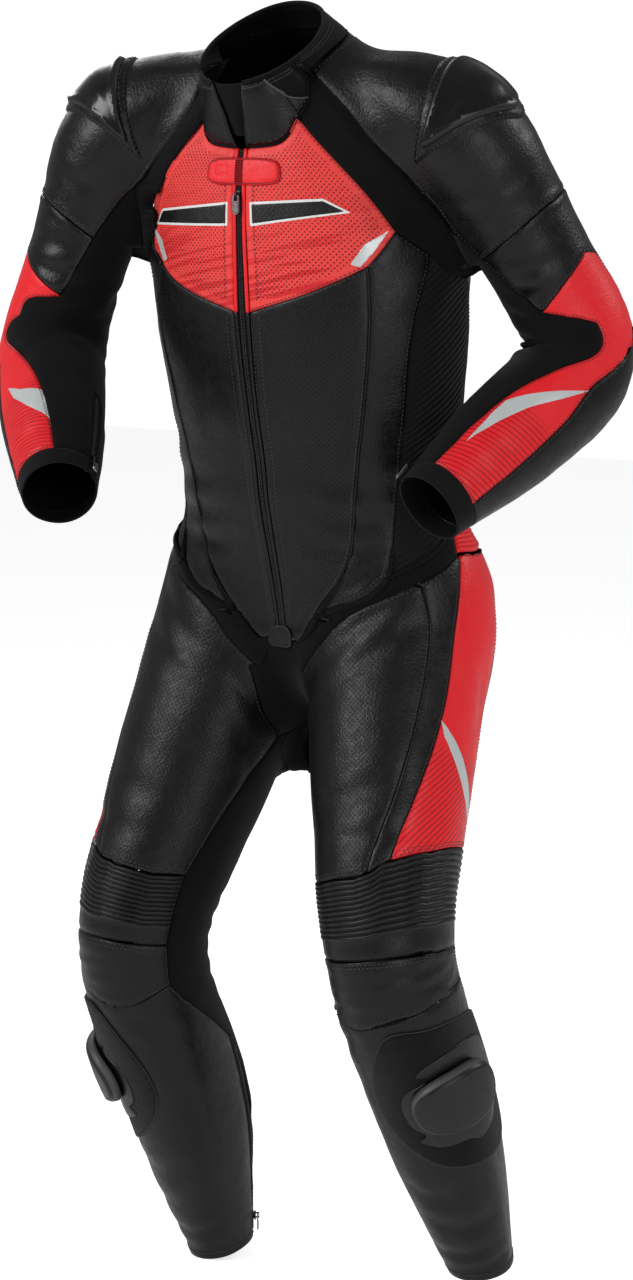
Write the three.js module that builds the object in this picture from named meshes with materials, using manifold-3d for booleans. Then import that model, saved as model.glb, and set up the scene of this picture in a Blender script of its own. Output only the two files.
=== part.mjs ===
// Motorcycle race suit, one-piece, in a worn pose without a wearer.
// Millimetres. +Z up, the chest faces -Y, the wearer's left side is +X.
// The origin lies in the middle of the neck base.
import * as THREE from 'three';
import { mergeVertices } from 'three/addons/utils/BufferGeometryUtils.js';
import Module from 'manifold-3d';

const vec = (x, y, z) => new THREE.Vector3(x, y, z);
const DEG = Math.PI / 180;
const { clamp, lerp, smoothstep } = THREE.MathUtils;

// Walls and meshing
const WALL = 2.0; // leather and stretch cloth with lining
const SEAM_GAP = 0.3; // between neighbouring pieces
const SEAM_STEP = { T: 34, A: 27, L: 31, G: 28 }; // spacing of points along a seam
const GRID_STEP = { T: 46, A: 30, L: 38, G: 34 }; // spacing of points inside a piece

// Body form
// Trunk sections by height: how far back the middle lies, half width,
// depth in front of and behind the middle, and how square the outline is.
const TRUNK = [
  { at: 120, y: 8, half: 62, front: 40, back: 44, square: 2.0 },
  { at: 90, y: 20, half: 68, front: 48, back: 54, square: 2.0 },
  { at: 55, y: 26, half: 80, front: 62, back: 84, square: 2.0 },
  { at: 20, y: 30, half: 102, front: 80, back: 106, square: 2.0 },
  { at: -20, y: 38, half: 132, front: 106, back: 118, square: 2.1 },
  { at: -60, y: 46, half: 160, front: 126, back: 126, square: 2.2 },
  { at: -120, y: 58, half: 184, front: 140, back: 132, square: 2.3 },
  { at: -180, y: 67, half: 196, front: 147, back: 132, square: 2.3 },
  { at: -250, y: 75, half: 198, front: 150, back: 124, square: 2.3 },
  { at: -335, y: 84, half: 191, front: 145, back: 114, square: 2.2 },
  { at: -410, y: 88, half: 182, front: 132, back: 108, square: 2.2 },
  { at: -458, y: 88, half: 179, front: 124, back: 108, square: 2.2 },
  { at: -510, y: 94, half: 188, front: 116, back: 116, square: 2.2 },
  { at: -560, y: 104, half: 202, front: 112, back: 122, square: 2.2 },
  { at: -610, y: 110, half: 204, front: 104, back: 124, square: 2.2 },
];
// Sleeve sections by distance along the arm, from the neck side to the cuff.
const ARM = [
  { at: 0, half: 68, front: 66, back: 70 },
  { at: 110, half: 72, front: 68, back: 69 },
  { at: 193, half: 73, front: 74, back: 71 },
  { at: 300, half: 64, front: 66, back: 66 },
  { at: 400, half: 60, front: 62, back: 62 },
  { at: 511, half: 65, front: 62, back: 70 },
  { at: 600, half: 65, front: 64, back: 69 },
  { at: 700, half: 58, front: 58, back: 62 },
  { at: 811, half: 44, front: 43, back: 45 },
];
// Leg sections by distance along the leg, from the hip joint to the hem.
const LEG = [
  { at: -150, half: 80, front: 80, back: 80 },
  { at: 0, half: 104, front: 104, back: 112 },
  { at: 100, half: 104, front: 102, back: 110 },
  { at: 200, half: 97, front: 100, back: 100 },
  { at: 300, half: 87, front: 94, back: 88 },
  { at: 400, half: 77, front: 92, back: 76 },
  { at: 450, half: 73, front: 90, back: 74 },
  { at: 520, half: 73, front: 76, back: 84 },
  { at: 620, half: 71, front: 64, back: 98 },
  { at: 720, half: 65, front: 58, back: 92 },
  { at: 820, half: 51, front: 47, back: 64 },
  { at: 900, half: 39, front: 38, back: 42 },
];
const ARM_ROOT = { x: 40, y: 30, z: 6 };
const JOINTS = [
  {
    side: 1, tag: 'L',
    shoulder: vec(222, 46, -8), elbow: vec(321, 190, -288), wrist: vec(244, -55, -446),
    hip: vec(104, 104, -592), knee: vec(196, -70, -974), ankle: vec(219, 122, -1410),
  },
  {
    side: -1, tag: 'R',
    shoulder: vec(-212, -30, -8), elbow: vec(-313, -46, -293), wrist: vec(-150, -233, -437),
    hip: vec(-116, 100, -606), knee: vec(-170, -70, -1014), ankle: vec(-158, 95, -1451),
  },
];
const BEND = { shoulder: 70, elbow: 75, knee: 110 }; // length of cloth that rounds each joint
const BLEND = { arm: 60, leg: 50, legs: 34 }; // softness where the limbs meet the trunk
const ARM_BLEND_END = 330;
const CROTCH_AXIS = { y: 104, z: -600 };
const AXIS_STEP = 14;

const FORWARD = vec(0, -1, 0);

/** Smooth value of every column of a table of sections. */
function section(rows, at) {
  const down = rows[1].at < rows[0].at ? -1 : 1;
  const last = rows.length - 1;
  let i = 0;
  while (i < last - 1 && down * rows[i + 1].at < down * at) i += 1;
  const span = rows[i + 1].at - rows[i].at;
  const t = clamp((at - rows[i].at) / span, 0, 1);
  const out = {};
  for (const key of Object.keys(rows[0])) {
    const slope = (j) => {
      const a = Math.max(j - 1, 0);
      const b = Math.min(j + 1, last);
      return (rows[b][key] - rows[a][key]) / (rows[b].at - rows[a].at);
    };
    const t2 = t * t;
    const t3 = t2 * t;
    out[key] = rows[i][key] * (2 * t3 - 3 * t2 + 1) + slope(i) * span * (t3 - 2 * t2 + t)
      + rows[i + 1][key] * (3 * t2 - 2 * t3) + slope(i + 1) * span * (t3 - t2);
  }
  return out;
}

function outlineRadius(row, cos, sin) {
  const square = row.square ?? 2.1;
  const depth = cos > 0 ? row.front : row.back;
  return ((Math.abs(cos) / depth) ** square + (Math.abs(sin) / row.half) ** square) ** (-1 / square);
}

/** Line through joints whose corners are rounded. */
function roundedLine(points, rounding) {
  const out = [points[0]];
  points.slice(1, -1).forEach((corner, i) => {
    const a = corner.clone().add(points[i].clone().sub(corner).setLength(rounding[i]));
    const b = corner.clone().add(points[i + 2].clone().sub(corner).setLength(rounding[i]));
    for (let k = 0; k <= 8; k += 1) {
      const t = k / 8;
      out.push(a.clone().multiplyScalar((1 - t) ** 2)
        .addScaledVector(corner, 2 * t * (1 - t)).addScaledVector(b, t * t));
    }
  });
  out.push(points[points.length - 1]);
  return out;
}

/** A limb: stations along its axis, each with a section and two cross directions. */
function makeLimb(side, points, rounding, rows, reference) {
  const line = roundedLine(points, rounding);
  const run = [0];
  for (let i = 1; i < line.length; i += 1) run.push(run[i - 1] + line[i].distanceTo(line[i - 1]));
  const total = run[run.length - 1];
  const count = Math.round(total / AXIS_STEP);
  const first = rows[0].at;
  const scale = (rows[rows.length - 1].at - first) / total;
  const stations = [];
  for (let k = 0, seg = 0; k <= count; k += 1) {
    const s = (total * k) / count;
    while (seg < line.length - 2 && s > run[seg + 1]) seg += 1;
    const t = (s - run[seg]) / (run[seg + 1] - run[seg]);
    stations.push({ c: line[seg].clone().lerp(line[seg + 1], t), at: first + s * scale });
  }
  stations.forEach((st, i) => {
    const next = stations[Math.min(i + 1, count)].c;
    const dir = next.clone().sub(stations[Math.max(i - 1, 0)].c).normalize();
    const ref = reference(st.at);
    st.e1 = ref.clone().addScaledVector(dir, -ref.dot(dir)).normalize();
    st.e2 = st.e1.clone().cross(dir).multiplyScalar(side).normalize();
    st.row = section(rows, st.at);
  });
  return { stations, first, step: (stations[1].at - stations[0].at) };
}

function armLimb(j) {
  const root = vec(ARM_ROOT.x * j.side, ARM_ROOT.y, ARM_ROOT.z);
  const upper = j.elbow.clone().sub(j.shoulder).normalize();
  const fore = j.wrist.clone().sub(j.elbow).normalize();
  return makeLimb(j.side, [root, j.shoulder, j.elbow, j.wrist], [BEND.shoulder, BEND.elbow], ARM, (at) => {
    if (at < 380) {
      const w = smoothstep(at, 0, 260);
      return FORWARD.clone().multiplyScalar(1 - w).addScaledVector(fore, w).normalize();
    }
    const w = smoothstep(at, 440, 570);
    return fore.clone().multiplyScalar(1 - w).addScaledVector(upper, -w).normalize();
  });
}
function legLimb(j) {
  const start = j.hip.clone().add(j.hip.clone().sub(j.knee).setLength(-LEG[0].at));
  return makeLimb(j.side, [start, j.knee, j.ankle], [BEND.knee], LEG, () => vec(0.2 * j.side, -1, 0).normalize());
}
const LIMBS = {};
for (const j of JOINTS) {
  LIMBS[`A${j.tag}`] = armLimb(j);
  LIMBS[`L${j.tag}`] = legLimb(j);
}

// Surface of the worn suit
function trunkField(p) {
  const z = clamp(p.z, TRUNK[TRUNK.length - 1].at, TRUNK[0].at);
  const row = section(TRUNK, z);
  const flat = Math.hypot(p.x, p.y - row.y) || 1e-6;
  return Math.hypot(flat, p.z - z) - outlineRadius(row, (row.y - p.y) / flat, p.x / flat);
}
function limbField(limb, p, from = -1e9, to = 1e9) {
  const { stations } = limb;
  let best = 1e12;
  let where = 0;
  let part = 0;
  for (let i = 0; i < stations.length - 1; i += 1) {
    if (stations[i].at < from || stations[i].at > to) continue;
    const a = stations[i].c;
    const b = stations[i + 1].c;
    const ex = b.x - a.x;
    const ey = b.y - a.y;
    const ez = b.z - a.z;
    const t = clamp(((p.x - a.x) * ex + (p.y - a.y) * ey + (p.z - a.z) * ez) / (ex * ex + ey * ey + ez * ez), 0, 1);
    const d = (p.x - a.x - ex * t) ** 2 + (p.y - a.y - ey * t) ** 2 + (p.z - a.z - ez * t) ** 2;
    if (d < best) {
      best = d;
      where = i;
      part = t;
    }
  }
  const a = stations[where];
  const b = stations[where + 1];
  const q = a.c.clone().lerp(b.c, part).sub(p).negate();
  const u = q.dot(a.e1) * (1 - part) + q.dot(b.e1) * part;
  const v = q.dot(a.e2) * (1 - part) + q.dot(b.e2) * part;
  const flat = Math.hypot(u, v) || 1e-6;
  return Math.sqrt(best) - lerp(outlineRadius(a.row, u / flat, v / flat), outlineRadius(b.row, u / flat, v / flat), part);
}
function softMin(a, b, k) {
  const h = Math.max(0, k - Math.abs(a - b)) / k;
  return Math.min(a, b) - (h * h * k) / 4;
}
/** Signed distance, roughly, to the cloth's outside; far sleeves leave the trunk alone. */
function field(p, chart = 'T') {
  if (chart[0] === 'A') {
    const arm = limbField(LIMBS[chart], p);
    return limbField(LIMBS[chart], p, ARM_BLEND_END) <= arm + 1e-6 ? arm : softMin(trunkField(p), arm, BLEND.arm);
  }
  let f = trunkField(p);
  if (p.z > -330) f = softMin(f, limbField(LIMBS[p.x > 0 ? 'AL' : 'AR'], p, -1e9, ARM_BLEND_END), BLEND.arm);
  if (p.z < -380) {
    const legs = softMin(limbField(LIMBS.LL, p, -10), limbField(LIMBS.LR, p, -10), BLEND.legs);
    f = softMin(f, legs, BLEND.leg);
  }
  return f;
}
function gradient(p, chart) {
  const h = 1.5;
  const g = (axis) => {
    const a = p.clone();
    const b = p.clone();
    a[axis] += h;
    b[axis] -= h;
    return field(a, chart) - field(b, chart);
  };
  return vec(g('x'), g('y'), g('z')).normalize();
}
function settle(p, chart) {
  const q = p.clone();
  for (let k = 0; k < 7; k += 1) {
    const f = field(q, chart);
    if (Math.abs(f) < 0.02) break;
    q.addScaledVector(gradient(q, chart), -f * 0.9);
  }
  return { p: q, n: gradient(q, chart) };
}

// Charts: T trunk (height, angle), A sleeve and L leg (distance along,
// angle), G crotch (sideways, angle). Angle 0 is the front, 90 outward.
function station(limb, at) {
  const f = (at - limb.first) / limb.step;
  const i = clamp(Math.floor(f), 0, limb.stations.length - 2);
  const a = limb.stations[i];
  const b = limb.stations[i + 1];
  const t = f - i;
  const row = {};
  for (const key of Object.keys(a.row)) row[key] = lerp(a.row[key], b.row[key], clamp(t, 0, 1));
  return {
    row,
    c: a.c.clone().lerp(b.c, t),
    e1: a.e1.clone().lerp(b.e1, t).normalize(),
    e2: a.e2.clone().lerp(b.e2, t).normalize(),
  };
}
/** Point and outward direction on the cloth; the side letter comes with the chart. */
function onChart(chart, side, u, v) {
  const cos = Math.cos(v * DEG);
  const sin = Math.sin(v * DEG);
  if (chart === 'T') {
    const row = section(TRUNK, u);
    const r = outlineRadius(row, cos, sin);
    return settle(vec(r * sin * side, row.y - r * cos, u), 'T');
  }
  if (chart === 'G') {
    const from = vec(u * side, CROTCH_AXIS.y, CROTCH_AXIS.z);
    const dir = vec(0, -cos, -sin);
    let r = 20;
    while (r < 260 && field(from.clone().addScaledVector(dir, r)) < -1) r += 2;
    return settle(from.addScaledVector(dir, r), 'T');
  }
  const name = chart + (side > 0 ? 'L' : 'R');
  const st = station(LIMBS[name], u);
  const r = outlineRadius(st.row, cos, sin);
  const p = st.c.clone().addScaledVector(st.e1, r * cos).addScaledVector(st.e2, r * sin);
  return settle(p, chart === 'A' ? name : 'T');
}
/** Chart coordinates of a point, the angle within half a turn of the one given. */
function toChart(chart, side, p, near = 0) {
  let u;
  let v;
  if (chart === 'T') {
    u = p.z;
    v = Math.atan2(p.x * side, section(TRUNK, u).y - p.y) / DEG;
  } else if (chart === 'G') {
    u = p.x * side;
    v = Math.atan2(CROTCH_AXIS.z - p.z, CROTCH_AXIS.y - p.y) / DEG;
  } else {
    const limb = LIMBS[chart + (side > 0 ? 'L' : 'R')];
    let best = 1e12;
    let at = 0;
    const end = limb.first + limb.step * (limb.stations.length - 1);
    for (let s = limb.first; s <= end; s += limb.step / 8) {
      const d = station(limb, s).c.distanceToSquared(p);
      if (d < best) {
        best = d;
        at = s;
      }
    }
    const st = station(limb, at);
    const q = p.clone().sub(st.c);
    u = at;
    v = Math.atan2(q.dot(st.e2), q.dot(st.e1)) / DEG;
  }
  while (v > near + 180) v -= 360;
  while (v < near - 180) v += 360;
  return [u, v];
}
/** Flat millimetres for meshing a piece in its chart. */
const FLAT_RADIUS = { T: 150, A: 58, L: 84, G: 110 };
const flatten = (chart, [u, v], stretch = 1) => [u * stretch, v * DEG * FLAT_RADIUS[chart]];


// Cutting pattern
// Corners where seams meet: chart, place on the left side and, where the two
// sides are posed differently, on the right side. Chart P is a plain point.
const CORNERS = {
  zipTop: { chart: 'T', left: [-42, 4] },
  collarChest: { chart: 'T', left: [-11, 38] },
  collarShoulder: { chart: 'T', left: [31, 55] },
  collarBack: { chart: 'T', left: [94, 128] },
  chestFoot: { chart: 'T', left: [-231, 4] },
  chestHem: { chart: 'T', left: [-176, 55], right: [-176, 52] },
  chestTip: { chart: 'T', left: [-136, 67], right: [-128, 59] },
  flankTop: { chart: 'T', left: [-164, 80], right: [-170, 68] },
  armpitFront: { chart: 'A', left: [284, -30], right: [246, -20] },
  armpit: { chart: 'P', left: [208, 95, -182], right: [-196, 6, -184] },
  armpitBack: { chart: 'P', left: [193, 120, -111], right: [-200, 36, -112] },
  zipFoot: { chart: 'T', left: [-618, 4] },
  bellyHip: { chart: 'T', left: [-600, 41] },
  stripHip: { chart: 'T', left: [-548, 63] },
  lumbarTop: { chart: 'T', left: [-487, 90] },
  lumbarFoot: { chart: 'T', left: [-528, 86] },
  lumbarTopSide: { chart: 'T', left: [-479, 125] },
  lumbarFootSide: { chart: 'T', left: [-531, 118] },
  seat: { chart: 'T', left: [-535, 180] },
  bandFront: { chart: 'A', left: [335, -7], right: [335, 2] },
  bandBack: { chart: 'A', left: [334, -108] },
  redCrest: { chart: 'A', left: [388, 112] },
  redTip: { chart: 'A', left: [422, 30], right: [424, 18] },
  redNotch: { chart: 'A', left: [470, 79], right: [478, 62] },
  elbowOut: { chart: 'A', left: [488, 145] },
  elbowIn: { chart: 'A', left: [505, 256] },
  cuffRedIn: { chart: 'A', left: [784, 25] },
  cuffRedOut: { chart: 'A', left: [784, 110] },
  cuffBack: { chart: 'A', left: [784, 258] },
  cuffZipTop: { chart: 'A', left: [655, -36] },
  cuffZipFront: { chart: 'A', left: [784, -29] },
  cuffZipBack: { chart: 'A', left: [784, -44] },
  cuffHemFront: { chart: 'A', left: [811, -29] },
  cuffHemBack: { chart: 'A', left: [811, -44] },
  groin: { chart: 'T', left: [-662, 25] },
  innerThigh: { chart: 'L', left: [150, -104] },
  seatFoot: { chart: 'G', left: [0, 152] },
  stripTop: { chart: 'T', left: [-556, 70] },
  kneeTopIn: { chart: 'L', left: [345, -68] },
  kneeTopStrip: { chart: 'L', left: [349, 7] },
  kneeTopRed: { chart: 'L', left: [338, 25] },
  kneeTopOut: { chart: 'L', left: [300, 118] },
  bandTopIn: { chart: 'L', left: [426, -66] },
  bandTopOut: { chart: 'L', left: [428, 112] },
  bandFootIn: { chart: 'L', left: [471, -70] },
  bandFootOut: { chart: 'L', left: [478, 116] },
  ankleZipTop: { chart: 'L', left: [590, -138] },
  hemFront: { chart: 'L', left: [886, -134] },
  hemBack: { chart: 'L', left: [892, -151] },
  hemOut: { chart: 'L', left: [896, 138] },
};
// Seams: corner, corner, chart, then the places that the seam runs through.
// A seam marked "across" ends at the same-named corner of the other side.
const SEAMS = {
  zipUpper: ['zipTop', 'chestFoot', 'T', [-130, 3.6]],
  zipLower: ['chestFoot', 'zipFoot', 'T', [-330, 3.6], [-450, 4]],
  collarFront: ['zipTop', 'collarChest', 'T', [-36, 24]],
  collarSide: ['collarChest', 'collarShoulder', 'T', [12, 47]],
  collarRear: ['collarShoulder', 'collarBack', 'T', [62, 74], [85, 98]],
  collarNape: ['collarBack', 'collarBack across', 'T', [97, 154], [98, 180], [97, 206]],
  chestV: ['chestFoot', 'chestHem', 'T', [-210, 29], [-192, 44]],
  chestSide: ['chestHem', 'chestTip', 'T', [-160, 60]],
  chestRaglan: ['collarChest', 'chestTip', 'T', [-54, 50], [-100, 61]],
  raglan: ['collarShoulder', 'armpitFront', 'A', [76, 8], [130, -24]],
  raglanFoot: ['chestTip', 'flankTop', 'T'],
  flankHead: ['flankTop', 'armpit', 'T', [-186, 88]],
  armpitFore: ['armpitFront', 'armpit', 'A'],
  armpitAft: ['armpit', 'armpitBack', 'A'],
  backRaglan: ['collarBack', 'armpitBack', 'T', [40, 130], [-20, 127], [-80, 120]],
  bellySide: ['chestHem', 'bellyHip', 'T', [-248, 54], [-390, 50], [-523, 46]],
  stripSide: ['flankTop', 'stripHip', 'T', [-250, 70], [-355, 67], [-474, 65]],
  sideSeam: ['armpit', 'lumbarTopSide', 'T', [-250, 108], [-340, 117]],
  hipInner: ['zipFoot', 'bellyHip', 'T', [-628, 16], [-618, 29]],
  hipMiddle: ['bellyHip', 'stripHip', 'T', [-577, 52]],
  hipOuter: ['stripHip', 'lumbarTop', 'T', [-518, 77]],
  crotchHead: ['zipFoot', 'zipFoot across', 'T'],
  zipHead: ['zipTop', 'zipTop across', 'T'],
  lumbarEnd: ['lumbarTop', 'lumbarFoot', 'T'],
  lumbarHeadSide: ['lumbarTop', 'lumbarTopSide', 'T', [-483, 108]],
  lumbarHeadBack: ['lumbarTopSide', 'lumbarTopSide across', 'T', [-474, 155], [-472, 180], [-474, 205]],
  lumbarHemSide: ['lumbarFoot', 'lumbarFootSide', 'T', [-530, 102]],
  lumbarHemBack: ['lumbarFootSide', 'seat', 'T', [-533, 150]],
  sleeveFront: ['armpitFront', 'bandFront', 'A'],
  sleeveBack: ['armpitBack', 'bandBack', 'A'],
  sleeveBand: ['bandFront', 'bandBack', 'A', [320, 38], [311, 75], [312, 120], [320, 180], [330, 225]],
  upperFront: ['bandFront', 'redTip', 'A'],
  upperBack: ['bandBack', 'elbowIn', 'A', [420, 255]],
  redHead: ['redTip', 'redCrest', 'A', [404, 66]],
  redBack: ['redCrest', 'elbowOut', 'A', [408, 142], [450, 152]],
  redHollow: ['redTip', 'redNotch', 'A', [448, 58]],
  elbowHead: ['elbowOut', 'elbowIn', 'A', [480, 200]],
  foreInner: ['redNotch', 'cuffRedIn', 'A', [500, 81], [560, 60], [640, 38], [726, 28]],
  foreOuter: ['elbowOut', 'cuffRedOut', 'A', [520, 106], [560, 90], [622, 100], [700, 106]],
  foreBack: ['elbowIn', 'cuffBack', 'A', [640, 258]],
  cuffHeadIn: ['cuffZipFront', 'cuffRedIn', 'A'],
  cuffHeadRed: ['cuffRedIn', 'cuffRedOut', 'A'],
  cuffHeadOut: ['cuffRedOut', 'cuffBack', 'A'],
  cuffHeadBack: ['cuffBack', 'cuffZipBack', 'A'],
  cuffZipFore: ['cuffZipTop', 'cuffZipFront', 'A', [668, -29]],
  cuffZipAft: ['cuffZipTop', 'cuffZipBack', 'A', [668, -43]],
  cuffEndFront: ['cuffZipFront', 'cuffHemFront', 'A'],
  cuffEndBack: ['cuffZipBack', 'cuffHemBack', 'A'],
  cuffHem: ['cuffHemFront', 'cuffHemBack', 'A', [811, 60], [811, 150], [811, 240]],
  cuffHemZip: ['cuffHemFront', 'cuffHemBack', 'A'],
  groinCut: ['zipFoot', 'groin', 'T'],
  hipHemOuter: ['lumbarFoot', 'stripTop', 'T'],
  hipHem: ['stripTop', 'groin', 'T', [-592, 49], [-634, 37]],
  crotchFront: ['groin', 'innerThigh', 'L', [126, -80]],
  crotchBack: ['innerThigh', 'seatFoot', 'L', [112, -142]],
  seatSeam: ['seatFoot', 'seat', 'T', [-600, 180]],
  stripSeam: ['stripTop', 'kneeTopStrip', 'L', [60, 44], [169, 39], [271, 25]],
  redSeam: ['lumbarFoot', 'kneeTopRed', 'L', [60, 62], [169, 57], [260, 42]],
  innerSeam: ['innerThigh', 'kneeTopIn', 'L', [240, -84]],
  thighSeam: ['lumbarFootSide', 'kneeTopOut', 'L', [60, 118], [180, 118]],
  kneeHeadIn: ['kneeTopIn', 'kneeTopStrip', 'L', [353, -36]],
  kneeHeadStrip: ['kneeTopStrip', 'kneeTopRed', 'L'],
  kneeHeadOut: ['kneeTopRed', 'kneeTopOut', 'L', [326, 54], [310, 88]],
  kneeSideIn: ['kneeTopIn', 'bandTopIn', 'L'],
  kneeSideOut: ['kneeTopOut', 'bandTopOut', 'L', [370, 116]],
  bandHead: ['bandTopIn', 'bandTopOut', 'L', [425, -20], [424, 20], [428, 66]],
  bandSideIn: ['bandTopIn', 'bandFootIn', 'L'],
  bandSideOut: ['bandTopOut', 'bandFootOut', 'L'],
  bandFoot: ['bandFootIn', 'bandFootOut', 'L', [489, -28], [483, 16], [475, 79]],
  shinInner: ['bandFootIn', 'ankleZipTop', 'L', [530, -108]],
  shinOuter: ['bandFootOut', 'hemOut', 'L', [600, 132], [750, 138]],
  ankleZipFore: ['ankleZipTop', 'hemFront', 'L', [620, -136], [750, -135]],
  ankleZipAft: ['ankleZipTop', 'hemBack', 'L', [620, -145], [750, -149]],
  hemShin: ['hemFront', 'hemOut', 'L', [884, -60], [887, 10], [893, 80]],
  hemCalf: ['hemBack', 'hemOut', 'L', [898, 180]],
  hemZip: ['hemFront', 'hemBack', 'L'],
};

// Seams that run differently on the right, where the arm reaches forward
const SEAMS_RIGHT = {
  flankHead: ['flankTop', 'armpit', 'T'],
  sideSeam: ['armpit', 'lumbarTopSide', 'T', [-200, 92], [-340, 115]],
  backRaglan: ['collarBack', 'armpitBack', 'T', [40, 130], [-20, 124], [-72, 106]],
  crotchBack: ['innerThigh', 'seatFoot', 'L', [92, -144]],
};

const LEFT = 1;
const RIGHT = -1;
const TAG = { [LEFT]: 'L', [RIGHT]: 'R' };

const ON_CENTRE = ['seat', 'seatFoot'];

const cornerCache = new Map();
function cornerPoint(name, side) {
  const key = `${name}/${side}`;
  if (!cornerCache.has(key)) {
    const row = CORNERS[name];
    const at = (side === RIGHT && row.right) || row.left;
    cornerCache.set(key, {
      id: ON_CENTRE.includes(name) ? name : key,
      ...(row.chart === 'P' ? settle(vec(...at), 'T') : onChart(row.chart, side, at[0], at[1])),
    });
  }
  return cornerCache.get(key);
}

/** Smooth path through chart places. */
function smoothPath(places) {
  if (places.length < 3) return (t) => [0, 1].map((i) => lerp(places[0][i], places[1][i], t));
  const curve = new THREE.CatmullRomCurve3(places.map(([u, v]) => vec(u, v, 0)), false, 'centripetal');
  return (t) => {
    const q = curve.getPoint(t);
    return [q.x, q.y];
  };
}

const seamCache = new Map();
/** Points of a seam from its first corner to its last, shared by the pieces on both sides. */
function seamPoints(name, side) {
  const key = `${name}/${side}`;
  if (seamCache.has(key)) return seamCache.get(key);
  const [from, toName, chart, ...through] = (side === RIGHT && SEAMS_RIGHT[name]) || SEAMS[name];
  const across = toName.endsWith(' across');
  const start = cornerPoint(from, side);
  const end = cornerPoint(toName.replace(' across', ''), across ? -side : side);
  const head = toChart(chart, side, start.p, through.length ? through[0][1] : toChart(chart, side, end.p)[1]);
  const tail = toChart(chart, side, end.p, through.length ? through[through.length - 1][1] : head[1]);
  const path = smoothPath([head, ...through, tail]);
  const dense = [];
  for (let k = 0; k <= 24; k += 1) dense.push(k === 0 ? start : k === 24 ? end : onChart(chart, side, ...path(k / 24)));
  const run = [0];
  for (let k = 1; k <= 24; k += 1) run.push(run[k - 1] + dense[k].p.distanceTo(dense[k - 1].p));
  const count = Math.max(1, Math.round(run[24] / SEAM_STEP[chart]));
  const points = [start];
  for (let k = 1, i = 0; k < count; k += 1) {
    const want = (run[24] * k) / count;
    while (run[i + 1] < want) i += 1;
    const t = (i + (want - run[i]) / (run[i + 1] - run[i])) / 24;
    points.push({ id: `${key}#${k}`, ...onChart(chart, side, ...path(t)) });
  }
  points.push(end);
  seamCache.set(key, points);
  return points;
}
/** Closed outline from seams given in order; the walking direction of each is found. */
function outline(refs, side) {
  const runs = refs.map((ref) => {
    const other = ref.endsWith('!');
    return seamPoints(ref.replace('!', ''), other ? -side : side);
  });
  const ends = runs.map((run) => [run[0].id, run[run.length - 1].id]);
  const loop = [];
  let here = ends[1].includes(ends[0][1]) ? ends[0][0] : ends[0][1];
  if (refs.length === 2) [[here]] = ends;
  runs.forEach((run, i) => {
    if (!ends[i].includes(here)) throw new Error(`open outline at ${refs[i]} (${here})`);
    const walk = run[0].id === here ? run : [...run].reverse();
    loop.push(...walk.slice(0, -1));
    here = walk[walk.length - 1].id;
  });
  return loop;
}

// Meshing a piece
function insidePolygon(poly, x, y) {
  let inside = false;
  for (let i = 0, j = poly.length - 1; i < poly.length; j = i, i += 1) {
    const [xi, yi] = poly[i];
    const [xj, yj] = poly[j];
    if (yi > y !== yj > y && x < ((xj - xi) * (y - yi)) / (yj - yi) + xi) inside = !inside;
  }
  return inside;
}
function outlineDistance(poly, x, y) {
  let best = 1e12;
  for (let i = 0, j = poly.length - 1; i < poly.length; j = i, i += 1) {
    const [ax, ay] = poly[j];
    const bx = poly[i][0] - ax;
    const by = poly[i][1] - ay;
    const t = clamp(((x - ax) * bx + (y - ay) * by) / (bx * bx + by * by || 1), 0, 1);
    best = Math.min(best, Math.hypot(x - ax - bx * t, y - ay - by * t));
  }
  return best;
}
/** Even triangles over an outline and inner points. */
function triangulate(flat, count) {
  const area2 = (a, b, c) => (flat[b][0] - flat[a][0]) * (flat[c][1] - flat[a][1])
    - (flat[b][1] - flat[a][1]) * (flat[c][0] - flat[a][0]);
  let tris = THREE.ShapeUtils.triangulateShape(flat.slice(0, count).map(([x, y]) => new THREE.Vector2(x, y)), []);
  tris = tris.map(([a, b, c]) => (area2(a, b, c) < 0 ? [a, c, b] : [a, b, c]));
  for (let p = count; p < flat.length; p += 1) {
    const home = tris.findIndex(([a, b, c]) => area2(a, b, p) >= 0 && area2(b, c, p) >= 0 && area2(c, a, p) >= 0);
    if (home < 0) continue;
    const [a, b, c] = tris[home];
    tris.splice(home, 1, [a, b, p], [b, c, p], [c, a, p]);
  }
  for (let pass = 0; pass < 60; pass += 1) {
    const owner = new Map();
    tris.forEach((tri, t) => tri.forEach((a, k) => owner.set(a * 1e5 + tri[(k + 1) % 3], [t, tri[(k + 2) % 3]])));
    const touched = new Set();
    let flips = 0;
    for (const [key, [t1, c]] of owner) {
      const a = Math.floor(key / 1e5);
      const b = key % 1e5;
      const mate = owner.get(b * 1e5 + a);
      if (a > b || !mate || touched.has(t1) || touched.has(mate[0])) continue;
      const d = mate[1];
      if (area2(c, a, d) <= 1e-3 || area2(c, d, b) <= 1e-3) continue;
      const angle = (x, y, z) => {
        const ux = flat[x][0] - flat[y][0];
        const uy = flat[x][1] - flat[y][1];
        const vx = flat[z][0] - flat[y][0];
        const vy = flat[z][1] - flat[y][1];
        return Math.acos(clamp((ux * vx + uy * vy) / (Math.hypot(ux, uy) * Math.hypot(vx, vy)), -1, 1));
      };
      if (angle(a, c, b) + angle(a, d, b) <= Math.PI + 1e-6) continue;
      tris[t1] = [c, a, d];
      tris[mate[0]] = [c, d, b];
      touched.add(t1).add(mate[0]);
      flips += 1;
    }
    if (!flips) break;
  }
  return tris;
}

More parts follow.
